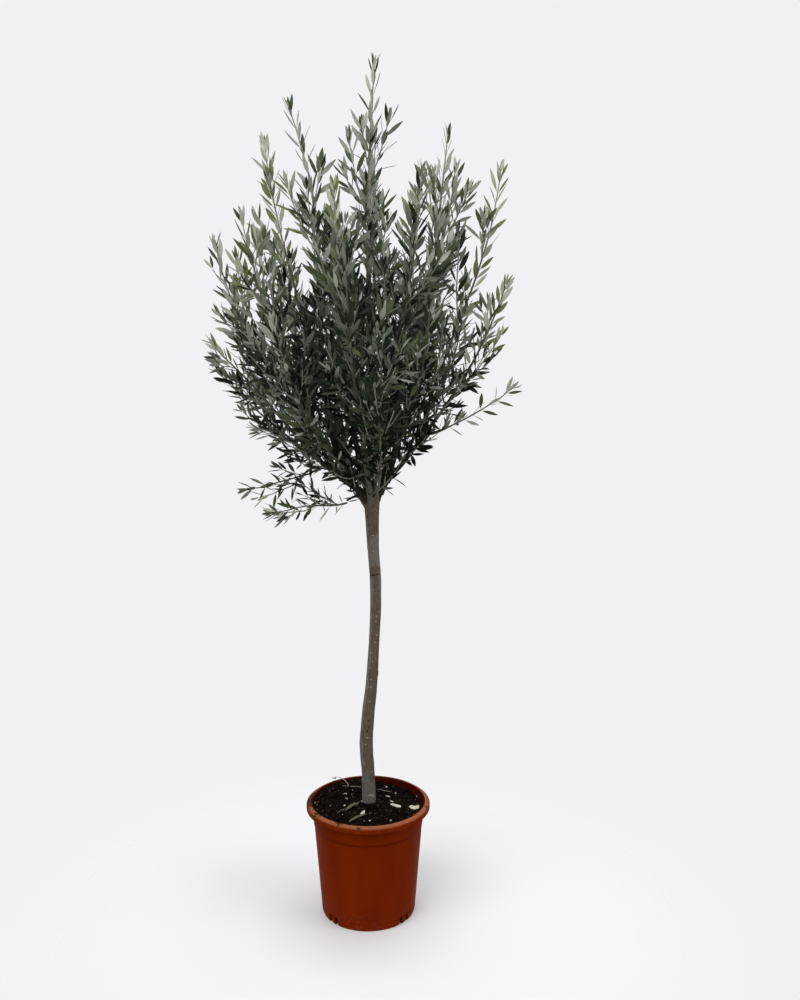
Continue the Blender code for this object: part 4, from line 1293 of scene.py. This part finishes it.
litter = {
    "clods": 1300,
    "clodMm": (1.8, 9.0),
    "clodTones": ("#060302", "#0e0805", "#1c130b", "#33271b"),
    "fibres": 300,
    "fibreMm": (4, 15),
    "fibreTones": ("#2b2119", "#463a2c", "#6b5f4c"),
    "grains": 22,
    "grainMm": (1.2, 2.6),
    # pale bits, each (x, y, length, width, turn); lengths in mm, turns in degrees
    "bits": ((-0.0531, 0.0466, 11, 3.6, 12), (-0.0496, 0.0235, 11, 3.4, -52), (0.0430, 0.0942, 6, 3.5, 60),
             (0.0641, 0.0640, 7, 4.0, 70), (0.0452, 0.0430, 11, 2.0, -18), (0.0538, 0.0217, 10, 3.0, -40),
             (0.1128, 0.0473, 4, 2.4, -50), (-0.0093, -0.0726, 4, 2.0, 80), (0.0038, -0.0726, 6, 3.2, 14),
             (0.0496, -0.0770, 5, 2.2, 40), (-0.0150, 0.0185, 6, 2.4, -50), (-0.1205, 0.0030, 10, 1.6, 75)),
    # broad chips as (corners, thickness in mm)
    "chips": ((((0.0929, -0.0072), (0.0977, 0.0002), (0.1064, -0.0046), (0.1160, 0.0020), (0.1154, -0.0132),
                (0.1062, -0.0250), (0.0977, -0.0167)), 1.2),
              (((0.0504, 0.0062), (0.0539, 0.0086), (0.0643, 0.0054), (0.0745, -0.0003), (0.0738, -0.0088),
                (0.0670, -0.0086), (0.0579, -0.0009)), 1.2),
              (((-0.0098, -0.0214), (-0.0071, -0.0266), (-0.0079, -0.0339), (-0.0124, -0.0420),
                (-0.0169, -0.0439), (-0.0177, -0.0388), (-0.0141, -0.0306)), 1.4)),
    "chipTones": ("#cfcabb", "#b9b3a2"),
    # x, y, across in mm
    "pebbles": ((-0.0536, -0.0115, 5.6), (-0.0572, -0.0452, 2.0), (-0.0378, 0.0467, 1.8)),
    # dry leaves as (foot, tip, width in mm)
    "leaves": (((-0.0512, -0.0336), (-0.0208, 0.0046), 9), ((-0.0434, -0.0841), (-0.0032, -0.0418), 8),
               ((-0.0279, -0.0120), (-0.0180, 0.0090), 4)),
    "leafTones": ("#5e5a4c", "#4c4838"),
    "straws": (((-0.0605, 0.0830), (-0.0382, 0.0836), (-0.0126, 0.0797)),
               ((0.0214, 0.0725), (0.0383, 0.0707), (0.0552, 0.0651)),
               ((-0.0694, -0.0413), (-0.0600, -0.0330), (-0.0514, -0.0240))),
    # the arched root as (x, y, z)
    "root": ((-0.0467, 0.0830, 0.2580), (-0.0463, 0.0860, 0.2631), (-0.0489, 0.0910, 0.2661),
             (-0.0554, 0.0980, 0.2705), (-0.0630, 0.1040, 0.2729), (-0.0695, 0.1080, 0.2739),
             (-0.0760, 0.1110, 0.2722), (-0.0800, 0.1120, 0.2690)),
    "strawTone": ("#a49c8a", "#8c8270"),
}


def lump(centre, size, squash, turn, rule):
    # a many-sided clod with uneven corners
    bm = bmesh.new()
    bmesh.ops.create_icosphere(bm, subdivisions=1, radius=size / 2)
    spin = Quaternion((rule.uniform(-1, 1), rule.uniform(-1, 1), rule.uniform(-1, 1), 1.2)).normalized()
    corners = []
    for vert in bm.verts:
        point = spin @ (vert.co * rule.uniform(0.72, 1.22))
        corners.append(Vector((point.x * turn[0], point.y * turn[1], point.z * squash)) + centre)
    faces = [[v.index for v in face.verts] for face in bm.faces]
    bm.free()
    return corners, faces


def chip(outline, thick, rule):
    # a thin flake lying on the soil, thinner at its edge
    middle = [sum(c[k] for c in outline) / len(outline) for k in (0, 1)]
    lean = rule.uniform(-0.06, 0.06), rule.uniform(-0.06, 0.06)
    base = max(soilHeight(x, y) for x, y in outline) + 0.0008

    def place(x, y, rise):
        return Vector((x, y, base + rise + (x - middle[0]) * lean[0] + (y - middle[1]) * lean[1]))

    corners = [place(*middle, thick)]
    inner = [(middle[0] + (x - middle[0]) * 0.7, middle[1] + (y - middle[1]) * 0.7) for x, y in outline]
    corners += [place(x, y, thick * rule.uniform(0.8, 1.1)) for x, y in inner]
    corners += [place(x, y, thick * 0.3) for x, y in outline] + [place(x, y, -0.002) for x, y in outline]
    n = len(outline)
    faces = [[0, 1 + k, 1 + (k + 1) % n] for k in range(n)]
    for ring in (1, 1 + n):
        faces += [[ring + k, ring + n + k, ring + n + (k + 1) % n, ring + (k + 1) % n] for k in range(n)]
    return corners, faces


def strand(points, radius, sides=5):
    # a thin round strand through its points, pointed at both ends
    points = [Vector(p) for p in points]
    radii = [radius * (0.35 if k in (0, len(points) - 1) else 1.0) for k in range(len(points))]
    rings = cornerRings(Limb(points, radii), sides)
    return [corner for ring in rings for corner in ring], tubeFaces(len(rings), sides)


def makeLitter():
    rule = random.Random("litter")
    bits = Heap()
    reach = pot["mouth"] - pot["wall"] - 0.006

    taken = [(trunk["line"][0][1], trunk["y"], 0.021)]
    for outline, _ in litter["chips"]:
        middle = [sum(corner[k] for corner in outline) / len(outline) for k in (0, 1)]
        taken.append((*middle, 0.011))
    taken += [(x, y, 0.004) for x, y, *_ in (*litter["bits"], *litter["pebbles"])]

    def anywhere():
        while True:
            x, y = rule.uniform(-reach, reach), rule.uniform(-reach, reach)
            if math.hypot(x, y) < reach and all(math.hypot(x - a, y - b) > r for a, b, r in taken):
                return x, y

    for _ in range(litter["clods"]):
        x, y = anywhere()
        size = (litter["clodMm"][0] + (litter["clodMm"][1] - litter["clodMm"][0]) * rule.random() ** 2.4) * mm
        tone = min(int(rule.random() ** 1.5 * 4), 3)
        bits.add(*lump(Vector((x, y, soilHeight(x, y) + size * 0.12)), size, rule.uniform(0.5, 0.9),
                       (rule.uniform(0.7, 1.3), rule.uniform(0.7, 1.3)), rule), tone)
    for _ in range(litter["fibres"]):
        x, y = anywhere()
        long = rule.uniform(*litter["fibreMm"]) * mm
        turn, tilt = rule.uniform(0, math.tau), rule.uniform(-0.2, 0.35)
        bend = rule.uniform(-0.25, 0.25)
        points = []
        for k in range(4):
            run = long * (k / 3 - 0.5)
            side = bend * long * (1 - (2 * k / 3 - 1) ** 2)
            px = x + run * math.cos(turn) - side * math.sin(turn)
            py = y + run * math.sin(turn) + side * math.cos(turn)
            if math.hypot(px, py) < reach + 0.003:
                points.append((px, py, soilHeight(px, py) + 0.0006 + max(0.0, tilt * run)))
        if len(points) > 2:
            bits.add(*strand(points, rule.uniform(0.2, 0.55) * mm, 4), rule.choice((4, 4, 5, 5, 6)))
    for _ in range(litter["grains"]):
        x, y = anywhere()
        size = rule.uniform(*litter["grainMm"]) * mm
        bits.add(*lump(Vector((x, y, soilHeight(x, y) + size * 0.3)), size, 0.7, (1.2, 0.8), rule), 7)
    tones = [*litter["clodTones"], *litter["fibreTones"], litter["chipTones"][1]]
    finishes = [makeFlatFinish(f"peatCrumb{k}", (tone, soil["wetTone"] if k < 4 else tone), 6, 0.7, 0.3,
                               {"Roughness": 0.85, "IOR": 1.4, "Specular IOR Level": 0.06})
                for k, tone in enumerate(tones)]
    addPiece("soil_crumbs", bits.corners, bits.faces, finishes, bits.tones, sharpAngle=30)

    pale = Heap()
    for outline, thick in litter["chips"]:
        pale.add(*chip(outline, thick * mm, rule))
    for x, y, long, wide, turn in litter["bits"]:
        turn = math.radians(turn)
        outline = [(x + long / 2 * mm * u * math.cos(turn) - wide / 2 * mm * v * math.sin(turn),
                    y + long / 2 * mm * u * math.sin(turn) + wide / 2 * mm * v * math.cos(turn))
                   for u, v in ((-1, 0), (-0.5, 0.8), (0.3, 1), (1, 0.2), (0.6, -0.8), (-0.3, -1))]
        pale.add(*chip(outline, 0.9 * mm, rule), rule.choice((0, 1)))
    for x, y, across in litter["pebbles"]:
        pale.add(*lump(Vector((x, y, soilLevel(x, y) + across * 0.4 * mm)), across * mm, 0.8, (1, 1), rule))
    chalk = {"Roughness": 0.9, "IOR": 1.4, "Specular IOR Level": 0.2}
    finishes = [makeFlatFinish("chippedPerlite", litter["chipTones"], 3, 0.8, 0.2, chalk),
                makeFlatFinish("weatheredChip", ("#857f70", "#9a9484"), 3, 0.8, 0.2, chalk)]
    addPiece("soil_chips", pale.corners, pale.faces, finishes, pale.tones, sharpAngle=35)

    dry = Heap()
    for foot, tip, wide in litter["leaves"]:
        dry.add(*dryLeaf(foot, tip, wide * mm, rule))
    for line in litter["straws"]:
        dry.add(*strand([(x, y, soilHeight(x, y) + 0.0022) for x, y in line], 0.7 * mm, 6), 1)
    root = [Vector(p) for p in litter["root"]]
    dry.add(*strand(root, 0.75 * mm, 6), 1)
    for _ in range(9):      # the wisps of the clump at the root's end
        turn, rise = rule.uniform(0, math.tau), rule.uniform(-0.2, 0.7)
        way = Vector((math.cos(turn), math.sin(turn) * 0.6, rise)).normalized() * rule.uniform(0.004, 0.008)
        side = Vector((-way.y, way.x, 0)) * rule.uniform(-0.5, 0.5)
        dry.add(*strand([root[-1], root[-1] + way * 0.5 + side, root[-1] + way], 0.5 * mm, 4), 2)
    finishes = [makeFlatFinish("driedOliveLeaf", litter["leafTones"], 9, 1.5, 0.1, chalk),
                makeFlatFinish("dryRoot", litter["strawTone"], 6, 0.8, 0.1, chalk),
                makeFlatFinish("dryRootHair", ("#6d6250", "#574c3c"), 6, 0.8, 0.1, chalk)]
    addPiece("soil_litter", dry.corners, dry.faces, finishes, dry.tones, sharpAngle=40)


def dryLeaf(foot, tip, wide, rule):
    # a fallen leaf, folded along its rib and a little curled
    foot, tip = Vector(foot), Vector(tip)
    across = Vector((foot.y - tip.y, tip.x - foot.x)).normalized()
    corners, steps = [], 9
    for k in range(steps + 1):
        share = k / steps
        half = wide / 2 * math.sin(math.pi * share ** 0.85) ** 0.75 if 0 < k < steps else 0.0002
        middle = foot.lerp(tip, share)
        rise = 0.0030 + 0.0030 * math.sin(math.pi * share) + rule.uniform(0, 0.0004)
        for reach, lift in ((-half, 0.25 * half), (0, 0.0), (half, 0.45 * half)):
            point = middle + across * reach
            corners.append(Vector((point.x, point.y, soilLevel(*middle) + rise + lift)))
    faces = []
    for k in range(steps):
        for j in (0, 1):
            a = 3 * k + j
            faces += [[a, a + 1, a + 4, a + 3]]
    count = len(corners)
    corners += [c - Vector((0, 0, 0.0003)) for c in corners]
    faces += [[count + i for i in reversed(face)] for face in faces]
    return corners, faces


makeCamera()
makeFloor()
makeRoom()
makePot()
makeSoil()
makeLitter()

barkFinishes = [makeBark(f"{kind}OliveBark", tones, 3.2) for kind, tones in stemMarks["barkTones"].items()]
# bough bark painted dark as shade, and the front limbs' bark painted paler as lit
shadedBoughFinish = makeBark("shadedBoughBark", {"cork": "#231d16", "ridge": "#2f2a22", "film": "#292822",
                                          "speck": "#403c34"}, 3.0)
litFrontFinish = makeBark("litFrontBoughBark", {"cork": "#4c4b3e", "ridge": "#5e5d4f", "film": "#585a4c",
                                          "speck": "#77756a"}, 3.0)
paleCork = makeFlatFinish("lenticelCork", ("#9c9283", "#877c6d"), 2, 0.8, 0.1, {"Roughness": 0.9, "IOR": 1.4})
darkCork = makeFlatFinish("crackedCork", ("#211912", "#30261c"), 2, 0.8, 0.1, {"Roughness": 0.9, "IOR": 1.4})
makeTrunk(barkFinishes, paleCork, darkCork)
coarseTrunk = trunkLimb(trunk["step"])
plans = planBranches(coarseTrunk)
space = Space([coarseTrunk, *[plan["bough"] for plan in plans.values() if plan["bough"]]],
              {name: plan["stem"] for name, plan in plans.items()})
makeBoughs(plans, [shadedBoughFinish, litFrontFinish])
twigFinish = makeFlatFinish("youngOliveTwig", ("#98978a", "#848375"), 14, 1.2, 0.1,
                            {"Roughness": 0.7, "IOR": 1.45})
stemFinish = makeFlatFinish("olderOliveTwig", ("#625e52", "#545046"), 14, 1.2, 0.15,
                            {"Roughness": 0.8, "IOR": 1.45})
leafFinishes = [makeFlatFinish(f"{tone}OliveLeaf", hexes, 35, 3, 0.05,
                               {"Roughness": 0.5, "IOR": 1.45, "Specular IOR Level": 0.1})
                for tone, hexes in leaves["tones"].items()]
leafFinishes += [makeFlatFinish(f"{tone}LeafUnderside", hexes, 35, 3, 0.03,
                                {"Roughness": 0.8, "IOR": 1.4, "Specular IOR Level": 0.1})
                 for tone, hexes in leaves["undersides"].items()]
makeFoliage(plans, space, [twigFinish, stemFinish], leafFinishes)
